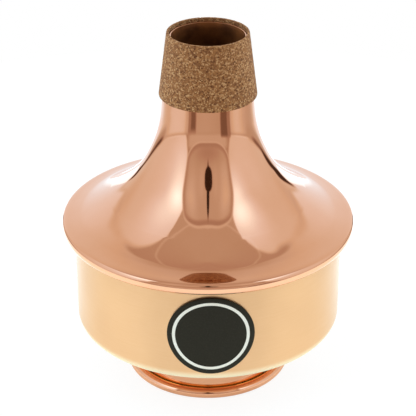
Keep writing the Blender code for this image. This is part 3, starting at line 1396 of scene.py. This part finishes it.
@dataclass
class Stem:
    """The sliding stem: a flanged tube soldered in the crown of a copper cup.

    Attributes:
        lathe: what spins it.
        tube_radius: the tube's outer radius.
        tube_gauge: its thickness.
        flange_width: how far its flange reaches out.
        flange_bend: the radius of the bend at its foot.
        tube_round: how far the tube's edges are rounded.
        tube_span: the longest span on the tube's outline.
        cup_gauge: the cup's thickness.
        cup_round: how far the cup's edges are rounded.
        cup_span: the longest span on the cup's outline.
        roll_radius: the radius of its rolled edge, in section.
        wall_inset: how far its wall is in from the roll's outside.
        shoulder: the radius of its shoulder.
        land_angle: how much of the roll is flat where it stands.
        flare_top: the height where the wall starts to flare into the roll.
        flare_steps: how many spans the flare has.
        fillet: how wide the solder under the crown is.
    """

    lathe: Lathe
    tube_radius: float = 7.5 * MM
    tube_gauge: float = 0.6 * MM
    flange_width: float = 2.2 * MM
    flange_bend: float = 0.5 * MM
    tube_round: float = 0.15 * MM
    tube_span: float = 2.0 * MM
    cup_gauge: float = 0.6 * MM
    cup_round: float = 0.1 * MM
    cup_span: float = 1.5 * MM
    roll_radius: float = 1.4 * MM
    wall_inset: float = 3.2 * MM
    shoulder: float = 7.5 * MM
    land_angle: float = math.radians(30.0)
    flare_top: float = 4.4 * MM
    flare_steps: int = 12
    fillet: float = 0.7 * MM

    def build_tube(self) -> Object:
        """Spins the flanged tube.

        Returns:
            The piece.
        """
        low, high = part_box("stem_tube")
        flange_z = low[2] + self.tube_gauge
        outline = rounded([
            (self.tube_radius, high[2], 0.0),
            (self.tube_radius, flange_z, self.flange_bend),
            (self.tube_radius + self.flange_width, flange_z, 0.0),
        ])
        return self.lathe.sheet("stem_pipe", divided(outline, self.tube_span),
                                self.tube_gauge, self.tube_round)

    def build_cup(self) -> Object:
        """Spins the cup: bored crown, shoulder, wall and the rolled edge it stands on.

        Returns:
            The piece.
        """
        _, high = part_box("stem_cup")
        roll = (high[0] - self.roll_radius, self.roll_radius * math.cos(self.land_angle / 2))
        wall = high[0] - self.wall_inset
        crown_z = high[2] - self.cup_gauge
        outline = rounded([
            (self.tube_radius + FIT_GAP, crown_z, 0.0),
            (wall, crown_z, self.shoulder - self.cup_gauge),
            (wall, self.flare_top, 0.0),
        ], steps=16)
        drop = self.flare_top - roll[1]
        flare = roll[0] - self.roll_radius - wall
        for step in range(1, self.flare_steps + 1):
            share = step / self.flare_steps
            outline.append((wall + flare * share ** 2, self.flare_top - share * drop))
        land_start = 1.5 * math.pi - self.land_angle / 2
        land_end = 1.5 * math.pi + self.land_angle / 2
        reach = (self.cup_gauge + 0.5 * FIT_GAP - self.roll_radius) / self.roll_radius
        tip = math.tau + math.acos(reach)
        outline += arc(roll, self.roll_radius, math.pi, land_start, 8)[1:]
        outline += arc(roll, self.roll_radius, land_end, tip, 24)
        return self.lathe.sheet("cup", divided(outline, self.cup_span), self.cup_gauge,
                                self.cup_round, Wall.BEFORE)

    def build_solder(self) -> Object:
        """Returns the solder round the flange, under the crown."""
        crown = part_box("stem_tube")[0][2] + self.tube_gauge + FIT_GAP
        return self.lathe.fillet("stem_solder", self.tube_radius + self.flange_width, crown,
                                 self.fillet, -1.0)

    def dress(self, brass: Material, copper: Material, solder: Material) -> None:
        """Builds the tube, the cup and the solder, and settles them in their finishes.

        Args:
            brass: the tube's material.
            copper: the cup's material.
            solder: the fillet's material.
        """
        settle(self.build_tube(), "stem_tube", Rides.STEM, brass)
        settle(self.build_cup(), "stem_cup", Rides.STEM, copper)
        settle(self.build_solder(), "", Rides.STEM, solder)


# The tent, the floor and the camera


def azimuth_of(tree: Tree, parts: bpy.types.NodeOutputs) -> Socket:
    """Adds the nodes that turn a vector's X and Y to an azimuth in degrees.

    Args:
        tree: the node tree.
        parts: the vector's parts.

    Returns:
        The azimuth: 0 is towards the camera, + to the mute's right.
    """
    front = add_node(tree, "Math", (parts["Y"], -1.0), operation="MULTIPLY")
    turn = add_node(tree, "Math", (parts["X"], front), operation="ARCTAN2")
    return add_node(tree, "Math", (turn,), operation="DEGREES")


def seen_share(tree: Tree, backdrop: Socket) -> Socket:
    """Adds the nodes that say whether a ray is to find the white background.

    Args:
        tree: the node tree.
        backdrop: how much of the background lies where the ray goes.

    Returns:
        1 for the camera's rays, and on the backdrop for a mirror's and a glass's too.
    """
    rays = add_node(tree, "LightPath").node.outputs
    mirrored = add_node(tree, "Math", (rays["Is Glossy Ray"], rays["Is Transmission Ray"]),
                        operation="MAXIMUM")
    there = add_node(tree, "Math", (mirrored, backdrop), operation="MULTIPLY")
    return add_node(tree, "Math", (rays["Is Camera Ray"], there), operation="MAXIMUM")


@dataclass(frozen=True)
class Look:
    """The direction that the world's nodes are asked about.

    Attributes:
        tree: the world's tree.
        azimuth: the direction's azimuth in degrees.
        elevation: its elevation in degrees.
    """

    tree: Tree
    azimuth: Socket
    elevation: Socket


@dataclass(frozen=True)
class Glow:
    """The round glow that a lamp makes on the cloth from outside, in degrees.

    Attributes:
        azimuth: where its middle is.
        elevation: how high its middle is.
        width: its spread across.
        height: its spread up and down.
        gain: how much it adds at its middle.
    """

    azimuth: float
    elevation: float
    width: float
    height: float
    gain: float

    def light(self, look: Look) -> Socket:
        """Adds the nodes that say how much light it adds at a direction.

        Args:
            look: the direction.

        Returns:
            The added level.
        """
        tree = look.tree
        spreads = ((look.azimuth, self.azimuth, self.width),
                   (look.elevation, self.elevation, self.height))
        away = [add_node(tree, "Math", (value, 1.0 / spread, -middle / spread),
                         operation="MULTIPLY_ADD") for value, middle, spread in spreads]
        both = add_node(tree, "CombineXYZ", away)
        square = add_node(tree, "VectorMath", (both, both), "Value", operation="DOT_PRODUCT")
        fall = add_node(tree, "Math", (square, -1.0), operation="MULTIPLY")
        bell = add_node(tree, "Math", (fall,), operation="EXPONENT")
        return add_node(tree, "Math", (bell, self.gain), operation="MULTIPLY")


@dataclass(frozen=True)
class Patch:
    """A rounded patch of the tent as the mute sees it, in degrees.

    Attributes:
        name: what it is.
        azimuth: its left and right edge.
        elevation: its lower and upper edge.
        level: how bright it is, where 1 is white.
        corner: its corners' radius, across and up.
        softness: the width of its blurred edge.
        lean: how much its upright edges spread with height.
        glows: what the lamps add on it.
    """

    name: str
    azimuth: Point
    elevation: Point
    level: float
    corner: Point = (3.0, 3.0)
    softness: float = 1.0
    lean: float = 0.0
    glows: tuple[Glow, ...] = ()

    def cover(self, look: Look) -> Socket:
        """Adds the nodes that say how much of the patch is at a direction.

        Args:
            look: the direction.

        Returns:
            1 on the patch, 0 off it.
        """
        tree, across = look.tree, look.azimuth
        if self.lean:
            spread = add_node(tree, "Math", (look.elevation, -self.lean, 1.0),
                              operation="MULTIPLY_ADD")
            across = add_node(tree, "Math", (across, spread), operation="MULTIPLY")
        outside = []
        corner_up = self.corner[1]
        sides = ((across, self.azimuth, self.corner[0]),
                 (look.elevation, self.elevation, corner_up))
        for value, (low, high), corner in sides:
            offset = add_node(tree, "Math", (value, 0.5 * (low + high)), operation="SUBTRACT")
            size = add_node(tree, "Math", (offset,), operation="ABSOLUTE")
            past = add_node(tree, "Math", (size, 0.5 * (high - low) - corner),
                            operation="SUBTRACT")
            share = add_node(tree, "Math", (past, corner_up / corner), operation="MULTIPLY")
            outside.append(add_node(tree, "Math", (share, 0.0), operation="MAXIMUM"))
        both = add_node(tree, "CombineXYZ", outside)
        reach = add_node(tree, "VectorMath", (both,), "Value", operation="LENGTH")
        cover = add_node(tree, "MapRange", (reach, corner_up - self.softness,
                                            corner_up + self.softness, 1.0, 0.0),
                         interpolation_type="SMOOTHSTEP")
        cover.node.label = self.name
        return cover


class Sides(Enum):
    """The sides of the tent that a curtain hangs on."""

    LEFT = -1.0
    RIGHT = 1.0
    BOTH = 0.0


@dataclass(frozen=True)
class Bow:
    """A bent line through knots, in degrees where nothing else is said.

    Attributes:
        knots: its places along one measure, each with the other measure there.
        reach: the lowest and the highest place that it covers.
        scale: a size that the other measure stays under.
    """

    knots: tuple[Point, ...]
    reach: Point = (-30.0, 90.0)
    scale: float = 200.0

    def follow(self, tree: Tree, place: Socket) -> Socket:
        """Adds the nodes that follow the line.

        Args:
            tree: the node tree.
            place: the place along the first measure.

        Returns:
            The other measure there.
        """
        low, high = self.reach
        share = add_node(tree, "MapRange", (place, low, high))
        bent = add_node(tree, "FloatCurve", {"Value": share})
        mapping = bent.node.mapping
        mapping.use_clip = False
        points = mapping.curves[0].points
        for along, other in self.knots:
            points.new((along - low) / (high - low), other / self.scale)
        points[0].location = (0.0, self.knots[0][1] / self.scale)
        points[-1].location = (1.0, self.knots[-1][1] / self.scale)
        mapping.update()
        return add_node(tree, "Math", (bent, self.scale), operation="MULTIPLY")


@dataclass(frozen=True)
class Curtain:
    """A wall of the tent as the mute sees it, between two edges that bend with height.

    Attributes:
        name: what it is.
        side: where it hangs.
        near: its edge on the camera's side, as the azimuth at each elevation.
        far: its other edge.
        elevation: its foot and its top.
        level: how bright it is at its foot and its top.
        softness: how blurred its near edge, far edge, foot and top are.
    """

    name: str
    side: Sides
    near: Bow
    far: Bow
    elevation: Point
    level: Point
    softness: tuple[float, float, float, float]

    def cover(self, look: Look) -> Socket:
        """Adds the nodes that say how much of the curtain is at a direction.

        Args:
            look: the direction.

        Returns:
            1 on the curtain, 0 off it.
        """
        tree, up = look.tree, look.elevation
        if self.side is Sides.BOTH:
            across = add_node(tree, "Math", (look.azimuth,), operation="ABSOLUTE")
        else:
            across = add_node(tree, "Math", (look.azimuth, self.side.value),
                              operation="MULTIPLY")
        edges = ((across, self.near.follow(tree, up), 1.0),
                 (across, self.far.follow(tree, up), -1.0),
                 (up, self.elevation[0], 1.0), (up, self.elevation[1], -1.0))
        cover = None
        for (value, edge, way), blur in zip(edges, self.softness):
            offset = add_node(tree, "Math", (value, edge), operation="SUBTRACT")
            inside = add_node(tree, "MapRange", (offset, -way * blur, way * blur),
                              interpolation_type="SMOOTHSTEP")
            cover = inside if cover is None else add_node(tree, "Math", (cover, inside),
                                                          operation="MULTIPLY")
        cover.node.label = self.name
        return cover

    def brightness(self, look: Look) -> Socket:
        """Returns how bright the curtain is at a direction's elevation."""
        return add_node(look.tree, "MapRange", (look.elevation, *self.elevation, *self.level))


@dataclass(frozen=True)
class Seam:
    """A thin line in the cloth where two pieces of it are sewn, on both sides.

    Attributes:
        path: its elevation at each azimuth.
        azimuth: where it starts and ends.
        width: half its width.
        gain: how much brighter it is than the cloth.
        fade: how far it fades either side of its ends.
    """

    path: Bow
    azimuth: Point
    width: float
    gain: float
    fade: float = 6.0

    def light(self, look: Look) -> Socket:
        """Adds the nodes that say how much light it adds at a direction.

        Args:
            look: the direction.

        Returns:
            The added level.
        """
        tree = look.tree
        across = add_node(tree, "Math", (look.azimuth,), operation="ABSOLUTE")
        offset = add_node(tree, "Math", (look.elevation, self.path.follow(tree, across)),
                          operation="SUBTRACT")
        size = add_node(tree, "Math", (offset,), operation="ABSOLUTE")
        light = add_node(tree, "MapRange", (size, 0.0, self.width, self.gain, 0.0),
                         interpolation_type="SMOOTHSTEP")
        for end, fade in zip(self.azimuth, (self.fade, -self.fade)):
            share = add_node(tree, "MapRange", (across, end - fade, end + fade),
                             interpolation_type="SMOOTHSTEP")
            light = add_node(tree, "Math", (light, share), operation="MULTIPLY")
        return light


SIDE_SEAM = (
    (-12.0, 150.0), (0.0, 150.0), (5.0, 149.0), (8.0, 146.0), (12.0, 140.5), (18.0, 137.5),
    (25.0, 134.0), (32.0, 131.0), (40.0, 125.5), (48.0, 120.5), (55.0, 114.5),
)
LEFT_BACK = Bow(SIDE_SEAM + ((60.0, 106.0), (62.5, 99.0), (64.0, 92.0), (65.0, 82.0)))
LEFT_FRONT = Bow((
    (-20.0, 62.0), (-10.0, 53.5), (-5.0, 49.0), (0.0, 46.8), (5.0, 44.5), (15.0, 43.0),
    (30.0, 42.6), (40.0, 43.2), (48.0, 45.4), (53.0, 48.4), (57.0, 54.0), (60.0, 60.5),
    (62.5, 68.0), (64.0, 75.0), (65.0, 82.0),
))
RIGHT_BACK = Bow(SIDE_SEAM + ((60.0, 113.0), (64.0, 106.0), (66.5, 97.0), (68.0, 88.0),
                              (69.0, 79.0)))
RIGHT_FRONT = Bow((
    (-20.0, 62.0), (-10.0, 53.5), (-5.0, 50.0), (0.0, 47.0), (5.0, 44.8), (15.0, 43.2),
    (30.0, 42.8), (45.0, 43.6), (55.0, 47.2), (60.0, 51.0), (64.0, 57.0), (66.5, 63.5),
    (68.0, 71.0), (69.0, 79.0),
))
BACK_EDGE = Bow(SIDE_SEAM[:-1] + ((54.0, 121.5), (60.0, 123.5), (66.0, 125.0), (72.0, 139.0)))
FLOOR_LIGHT = Bow((
    (-180.0, 2.3), (-168.0, 2.1), (-156.0, 1.6), (-144.0, 1.28), (-132.0, 0.96), (-120.0, 0.82),
    (-108.0, 0.80), (-96.0, 0.98), (-72.0, 1.02), (-60.0, 0.98), (-50.0, 0.70), (0.0, 0.63),
    (50.0, 0.63), (60.0, 0.80), (72.0, 0.94), (84.0, 0.86), (96.0, 0.71), (120.0, 0.64),
    (132.0, 0.78), (144.0, 1.1), (156.0, 1.42), (168.0, 2.0), (180.0, 2.3),
), (-180.0, 180.0), 3.0)


@dataclass(frozen=True)
class LightTent:
    """A cube of white cloth, lit from both sides, with the camera's slit in its front.

    Attributes:
        ceiling: what is lighter on the ceiling.
        back_ceiling: how bright the rest of the ceiling is.
        floor_top: where the far floor ends, and where it is whole.
        back: the back wall.
        walls: the left and the right wall.
        opening: the gap beside the back wall, where the white background shows.
        glows: what the side lamps add on the walls.
        lamps: the lamps themselves behind the cloth, which only matt pieces feel.
        seams: the light lines in the cloth.
        details: the front wall with its slit, posts and folds, the topmost last.
        backdrop: where the mute's mirror finds the white background itself.
        tints: the cloth's colour at each level.
        brightest: the level where the tints end.
    """

    ceiling: tuple[Patch, ...] = (
        Patch("front ceiling", (-100.0, 100.0), (30.0, 150.0), 0.60, (60.0, 40.0), 30.0),
    )
    back_ceiling: float = 0.53
    floor_top: Point = (-7.5, -11.5)
    back: Curtain = Curtain("back wall", Sides.BOTH, BACK_EDGE,
                            Bow(((-30.0, 199.0), (90.0, 199.0))), (-17.0, 75.0),
                            (1.45, 0.54), (3.0, 1.0, 3.0, 2.0))
    walls: tuple[Curtain, ...] = (
        Curtain("left wall", Sides.LEFT, LEFT_FRONT, LEFT_BACK, (-8.5, 66.0), (0.93, 0.88),
                (2.4, 3.0, 0.8, 3.0)),
        Curtain("right wall", Sides.RIGHT, RIGHT_FRONT, RIGHT_BACK, (-8.5, 69.5), (0.91, 0.88),
                (2.4, 3.0, 0.8, 2.5)),
    )
    opening: Curtain = Curtain(
        "back opening", Sides.BOTH,
        Bow(((-25.0, 176.0), (-20.0, 169.0), (-16.0, 163.5), (-12.0, 158.0), (-9.0, 154.5),
             (-5.0, 152.0), (1.0, 151.0))),
        Bow(((-25.0, 178.5), (-20.0, 175.0), (-15.0, 171.0), (-10.0, 167.0), (-6.0, 163.0),
             (-3.0, 159.5), (-1.0, 156.0), (1.0, 151.5))),
        (-26.0, 1.0), (2.2, 2.2), (1.6, 1.4, 1.0, 1.2))
    glows: tuple[Glow, ...] = (
        Glow(-54.0, 38.0, 16.0, 18.0, 1.55),
        Glow(-80.0, 50.0, 26.0, 16.0, 0.62),
        Glow(-55.0, 10.0, 22.0, 18.0, 0.36),
        Glow(60.0, 53.0, 20.0, 13.0, 1.30),
        Glow(50.0, 34.0, 14.0, 13.0, 0.92),
        Glow(80.0, 58.0, 22.0, 12.0, 0.42),
        Glow(-88.0, 16.0, 20.0, 20.0, 0.07),
        Glow(66.0, 16.0, 22.0, 20.0, 0.10),
        Glow(92.0, 10.0, 16.0, 20.0, 0.06),
        Glow(-134.0, 18.0, 9.0, 26.0, -0.13),
        Glow(136.0, 18.0, 10.0, 26.0, -0.15),
    )
    lamps: tuple[Glow, ...] = (
        Glow(-92.0, 28.0, 42.0, 34.0, 2.35),
        Glow(92.0, 28.0, 42.0, 34.0, 1.95),
        Glow(0.0, 15.0, 48.0, 48.0, -0.50),
    )
    seams: tuple[Seam, ...] = (
        Seam(Bow(((0.0, 72.8), (20.0, 71.0), (40.0, 68.2), (65.0, 68.4), (105.0, 66.0),
                  (115.0, 69.0), (128.0, 70.0), (150.0, 74.0), (180.0, 76.0)), (0.0, 180.0),
                 90.0), (-20.0, 200.0), 1.2, 0.10),
        Seam(Bow(((0.0, -8.0), (60.0, -8.0), (90.0, -8.0), (110.0, -9.0), (125.0, -9.5),
                  (180.0, -9.5)), (0.0, 180.0), 90.0), (64.0, 118.0), 1.1, 0.10),
    )
    details: tuple[Patch, ...] = (
        Patch("front foot", (-44.0, 42.0), (-9.0, 2.0), 0.68, (8.0, 3.0), 2.0),
        Patch("front hem", (-42.8, 42.8), (-3.0, 72.6), 0.76, (28.0, 13.5), 0.9, 0.0022),
        Patch("front seam", (-41.2, 41.2), (-1.8, 70.6), 0.47, (27.0, 13.0), 0.9, 0.0022),
        Patch("front wall", (-38.6, 38.6), (1.6, 66.6), 0.62, (25.0, 11.0), 1.9, 0.0022,
              (Glow(-31.0, 42.0, 9.0, 20.0, 0.15), Glow(32.0, 38.0, 9.0, 22.0, 0.19),
               Glow(0.0, 6.0, 30.0, 9.0, -0.12), Glow(-12.0, 30.0, 5.0, 14.0, 0.05),
               Glow(14.0, 30.0, 5.0, 14.0, 0.05))),
        Patch("slit", (-2.3, 2.4), (14.0, 65.5), 0.03, (2.3, 18.0), 5.0),
        Patch("slit mouth", (-6.2, 7.9), (17.0, 34.5), 0.04, (6.9, 7.4), 1.0),
        Patch("left post", (-47.5, -28.0), (-24.0, -9.5), 0.44, (2.0, 2.0), 1.9),
        Patch("left post core", (-41.0, -30.0), (-24.0, -12.0), 0.25, (2.0, 2.0), 1.9),
        Patch("right post", (29.0, 54.0), (-24.0, -7.0), 0.42, (2.0, 2.0), 1.9),
        Patch("right post core", (30.5, 46.0), (-24.0, -7.5), 0.23, (2.0, 2.0), 1.9),
        Patch("left fold shade", (-152.0, -112.0), (-15.0, -8.0), 0.58, (8.0, 3.0), 2.4),
        Patch("left fold", (-153.0, -119.0), (-10.9, -8.3), 0.13, (6.0, 1.3), 1.2),
        Patch("left gap", (-153.0, -147.0), (-10.0, 0.5), 0.07, (2.5, 2.5), 1.3),
        Patch("right fold shade", (100.0, 152.0), (-15.0, -7.5), 0.60, (10.0, 3.5), 2.4),
        Patch("right fold tail", (116.0, 142.0), (-10.4, -7.6), 0.26, (8.0, 1.4), 1.4),
        Patch("right fold", (134.0, 153.0), (-9.6, -4.0), 0.08, (5.0, 2.8), 1.6),
        Patch("right gap", (141.0, 151.5), (-9.0, 4.0), 0.06, (3.5, 3.5), 1.6),
    )
    backdrop: tuple[Patch, Patch] = (
        Patch("white backdrop left", (-210.0, -150.0), (-91.0, -27.0), 1.0, (4.0, 4.0), 2.0),
        Patch("white backdrop right", (150.0, 210.0), (-91.0, -27.0), 1.0, (4.0, 4.0), 2.0),
    )
    tints: tuple[tuple[float, str], ...] = (
        (0.0, "FFC8A0"), (0.53, "FFE8D4"), (0.59, "FFF2DC"), (0.71, "FFFAEC"), (0.80, "FEFAE8"),
        (0.91, "F6FAF2"), (1.05, "F0FAFD"), (1.26, "E4F4FF"), (1.64, "D8F1FF"), (2.5, "CDEBFF"),
    )
    brightest: float = 3.0

    def hang(self) -> None:
        """Builds the world: tinted cloth, and white where the background is."""
        world = bpy.data.worlds.new("light_tent")
        world.use_nodes = True
        tree = world.node_tree
        tree.nodes.clear()
        bpy.context.scene.world = world
        direction = add_node(tree, "TexCoord", output="Generated")
        parts = add_node(tree, "SeparateXYZ", (direction,)).node.outputs
        climb = add_node(tree, "Math", (parts["Z"],), operation="ARCSINE")
        look = Look(tree, azimuth_of(tree, parts),
                    add_node(tree, "Math", (climb,), operation="DEGREES"))
        level = self.sew(look)
        behind = add_node(tree, "Math", [patch.cover(look) for patch in self.backdrop],
                          operation="MAXIMUM")
        cloth = add_node(tree, "Background",
                         {"Color": self.tint(tree, level), "Strength": level})
        white = add_node(tree, "Background", {"Color": hex_colour("FFFFFF"), "Strength": 1.0})
        both = add_node(tree, "MixShader", (seen_share(tree, behind), cloth, white))
        add_node(tree, "OutputWorld", {"Surface": both})

    def sew(self, look: Look) -> Socket:
        """Adds the tent's floor, walls, seams and openings, one over the other.

        Args:
            look: the direction.

        Returns:
            How bright the tent is in that direction.
        """
        tree = look.tree
        level = add_node(tree, "Value")
        level.default_value = self.back_ceiling
        level = self.hang_patches(look, level, self.ceiling)
        low = add_node(tree, "MapRange", (look.elevation, *self.floor_top),
                       interpolation_type="SMOOTHSTEP")
        far_floor = FLOOR_LIGHT.follow(tree, look.azimuth)
        level = add_node(tree, "Mix", {0: low, 2: level, 3: far_floor})
        hung = []
        for curtain in (self.back, *self.walls):
            hung.append(curtain.cover(look))
            level = add_node(tree, "Mix", {0: hung[-1], 2: level, 3: curtain.brightness(look)})
        cover = add_node(tree, "Math", hung[1:], operation="MAXIMUM")
        level = self.light_cloth(look, level, cover, self.glows)
        for seam in self.seams:
            level = add_node(tree, "Math", (seam.light(look), level), operation="ADD")
        level = self.hang_patches(look, level, self.details)
        level = add_node(tree, "Mix", {0: self.opening.cover(look), 2: level,
                                       3: self.opening.brightness(look)})
        matt = add_node(tree, "LightPath", output="Is Diffuse Ray")
        return self.light_cloth(look, level, matt, self.lamps)

    def hang_patches(self, look: Look, level: Socket, patches: tuple[Patch, ...]) -> Socket:
        """Paints patches over the level, each with its own glows.

        Args:
            look: the direction.
            level: what is under them.
            patches: the patches, the topmost last.

        Returns:
            The level with them.
        """
        for patch in patches:
            cover = patch.cover(look)
            level = add_node(look.tree, "Mix", {0: cover, 2: level, 3: patch.level})
            level = self.light_cloth(look, level, cover, patch.glows)
        return level

    @staticmethod
    def light_cloth(look: Look, level: Socket, cover: Socket,
                    glows: tuple[Glow, ...]) -> Socket:
        """Adds glows to the level where there is cloth.

        Args:
            look: the direction.
            level: what is there without them.
            cover: how much cloth there is.
            glows: the glows.

        Returns:
            The level with them.
        """
        for glow in glows:
            level = add_node(look.tree, "Math", (glow.light(look), cover, level),
                             operation="MULTIPLY_ADD")
        return level

    def tint(self, tree: Tree, level: Socket) -> Socket:
        """Adds the cloth's colour at a level.

        Args:
            tree: the node tree.
            level: how bright the cloth is.

        Returns:
            The colour.
        """
        share = add_node(tree, "Math", (level, 1.0 / self.brightest), operation="MULTIPLY")
        colour = add_node(tree, "ValToRGB", (share,))
        set_stops(colour, self.tints, self.brightest)
        return colour


@dataclass(frozen=True)
class TentFloor:
    """The tent's white floor round the mute, which keeps its faint shadow.

    The mute stands on the stem's cup, so the floor stays under the cup when the stem slides.

    Attributes:
        tent: the tent, whose far floor it meets.
        radius: the floor's radius.
        facets: how many corners its outline has.
        rings: how many rings it is divided in.
        paper: its own colour.
        near_colour: the colour of the light that the brass throws on it.
        cool_turn: where round the mute that light starts to be the tent's, and where it is.
        own_light: what the camera sees of it without the shadow.
        shadow_share: how much of its own colour the camera sees, which carries the shadow.
        near_light: how bright it is by the distance from the mute's axis, where the world's
            light on it is the rest.
        near_turn: how much of that there is from the front, -1, round to the back, 1.
        far_reach: where the near light starts to turn into the far floor's, and where it has.
        paper_level: how bright the paper is without the lamps.
        backdrop: how far behind the mute the background starts, and where it is whole.
    """

    tent: LightTent
    radius: float = 0.24
    facets: int = 96
    rings: int = 9
    paper: str = "DCDCDA"
    near_colour: str = "F8FFE6"
    cool_turn: Point = (-0.1, 0.7)
    own_light: float = 0.872
    shadow_share: float = 0.24
    near_light: Bow = Bow((
        (0.0, 0.68), (0.020, 0.90), (0.025, 1.14), (0.036, 1.16), (0.046, 1.40), (0.090, 1.42),
        (0.130, 1.40), (0.160, 1.20), (0.200, 0.90), (0.240, 0.70),
    ), (0.0, 0.24), 1.5)
    near_turn: Bow = Bow((
        (-1.0, 0.92), (-0.85, 0.92), (-0.70, 1.0), (0.0, 1.02), (0.35, 1.10), (1.0, 1.18),
    ), (-1.0, 1.0), 1.5)
    far_reach: Point = (0.13, 0.21)
    paper_level: float = 0.67
    backdrop: Point = (0.16, 0.18)

    def lay(self) -> None:
        """Makes the floor and lets it follow the cup."""
        deselect()
        bpy.ops.mesh.primitive_circle_add(vertices=self.facets, radius=self.radius,
                                          fill_type="NGON")
        floor = bpy.context.object
        floor.name = floor.data.name = "tent_floor"
        with editing():
            for _ in range(self.rings):
                bpy.ops.mesh.inset(thickness=self.radius / (self.rings + 2))
        floor.data.materials.append(self.material())
        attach(floor, Rides.STEM.value)

    def material(self) -> Material:
        """Builds the floor's paper: white to the camera, lit plus a painted pool of light to the
        rest.

        Returns:
            The material.
        """
        made, tree = new_material("tent_paper")
        place = add_node(tree, "TexCoord", output="Object")
        parts = add_node(tree, "SeparateXYZ", (place,)).node.outputs
        distance = add_node(tree, "VectorMath", (place,), "Value", operation="LENGTH")
        behind = add_node(tree, "Math", (parts["Y"], distance), operation="DIVIDE")
        far = add_node(tree, "MapRange", (distance, *self.far_reach),
                       interpolation_type="SMOOTHSTEP")
        to_mute = self.lit_paper(tree, distance, behind, far, azimuth_of(tree, parts))
        grey = [self.shadow_share * part for part in hex_colour(self.paper)[:3]]
        shaded = add_node(tree, "BsdfDiffuse", {"Color": (*grey, 1.0)})
        plain = add_node(tree, "Emission", {"Strength": self.own_light})
        to_camera = add_node(tree, "AddShader", (shaded, plain))
        backdrop = add_node(tree, "MapRange", (parts["Y"], *self.backdrop))
        both = add_node(tree, "MixShader", (seen_share(tree, backdrop), to_mute, to_camera))
        add_node(tree, "OutputMaterial", {"Surface": both})
        return made

    def lit_paper(self, tree: Tree, distance: Socket, behind: Socket, far: Socket,
                  azimuth: Socket) -> Socket:
        """Adds the paper as the mute's mirror and matt pieces meet it.

        Args:
            tree: the material's tree.
            distance: how far a place is from the axis.
            behind: how far round to the back it is, from -1 to 1.
            far: how much of the far floor's light it has.
            azimuth: its azimuth.

        Returns:
            The shader.
        """
        near = add_node(tree, "Math", (self.near_light.follow(tree, distance),
                                       self.near_turn.follow(tree, behind)),
                        operation="MULTIPLY")
        level = add_node(tree, "Mix", {0: far, 2: near, 3: FLOOR_LIGHT.follow(tree, azimuth)})
        own = add_node(tree, "Math", (far, -self.paper_level, self.paper_level),
                       operation="MULTIPLY_ADD")
        added = add_node(tree, "Math", (level, own), operation="SUBTRACT")
        strength = add_node(tree, "Math", (added, 0.0), operation="MAXIMUM")
        tone = add_node(tree, "Mix",
                        {0: far, 6: hex_colour(self.paper), 7: hex_colour("000000")},
                        2, data_type="RGBA")
        lit = add_node(tree, "BsdfDiffuse", {"Color": tone})
        white = add_node(tree, "MapRange", (behind, *self.cool_turn))
        cool = add_node(tree, "Math", (far, white), operation="MAXIMUM")
        colour = add_node(tree, "Mix",
                          {0: cool, 6: hex_colour(self.near_colour),
                           7: self.tent.tint(tree, level)}, 2, data_type="RGBA")
        # The paper glows here: a painted pool of light round the mute, tinted by the brass close
        # by.
        lamps = add_node(tree, "Emission", {"Color": colour, "Strength": strength})
        return add_node(tree, "AddShader", (lit, lamps))


@dataclass(frozen=True)
class PhotoCamera:
    """The camera at the photograph's place, found by fitting the mute's outline.

    Attributes:
        distance: how far in front of the axis it stands.
        height: how high it stands.
        pitch: how far it looks down.
        focal_pixels: its focal length in pixels of a frame this many pixels wide.
        frame_pixels: the frame's width and height.
        sensor: its sensor's width in millimetres.
        clip_start: the nearest place that it sees.
    """

    distance: float = 370.0 * MM
    height: float = 239.841 * MM
    pitch: float = 0.479
    focal_pixels: float = 1518.493
    frame_pixels: int = 416
    sensor: float = 36.0
    clip_start: float = 0.01

    def stand(self) -> None:
        """Adds the camera to the scene."""
        lens = bpy.data.cameras.new("photo_camera")
        lens.sensor_width = self.sensor
        lens.lens = self.focal_pixels / self.frame_pixels * self.sensor
        lens.clip_start = self.clip_start
        camera = bpy.data.objects.new("photo_camera", lens)
        camera.location = (0.0, -self.distance, self.height)
        camera.rotation_euler = (math.pi / 2 - self.pitch, 0.0, 0.0)
        bpy.context.scene.collection.objects.link(camera)
        bpy.context.scene.camera = camera


def main() -> None:
    """Builds the mute, piece by piece, and the tent round it."""
    logging.basicConfig(level=logging.INFO, format="%(message)s")
    bpy.context.scene.view_settings.view_transform = "Standard"
    PhotoCamera().stand()
    tent = LightTent()
    tent.hang()
    TentFloor(tent).lay()

    copper = SpunCopper().material()
    # The cup's copper has a painted reflection, deep orange, round the crease above its roll.
    cup_copper = SpunCopper("cup_copper", crease=(20.1 * MM, 1.7 * MM)).material()
    raw_copper = RawCopper().material()
    brass = BrushedBrass().material()
    tube_brass = DrawnBrass().material()
    cork = PressedCork().material()
    lining = PressedCork("lining_cork", grain=0.5 * MM).material()
    foil = PrintedFoil().material()
    ring = PrintedFoil("ring_print", "F2ECE3", "E4DED5").material()
    solder = SoftSolder().material()

    fine, small = Lathe(192), Lathe(128)
    bell = Bell(fine)
    bell.dress(copper, raw_copper)
    CorkSleeve(bell).dress(cork)
    Body(fine).dress(brass, foil, ring)
    Receiver(small).dress(tube_brass, lining, solder)
    Stem(small).dress(tube_brass, cup_copper, solder)


if __name__ == "__main__":
    main()
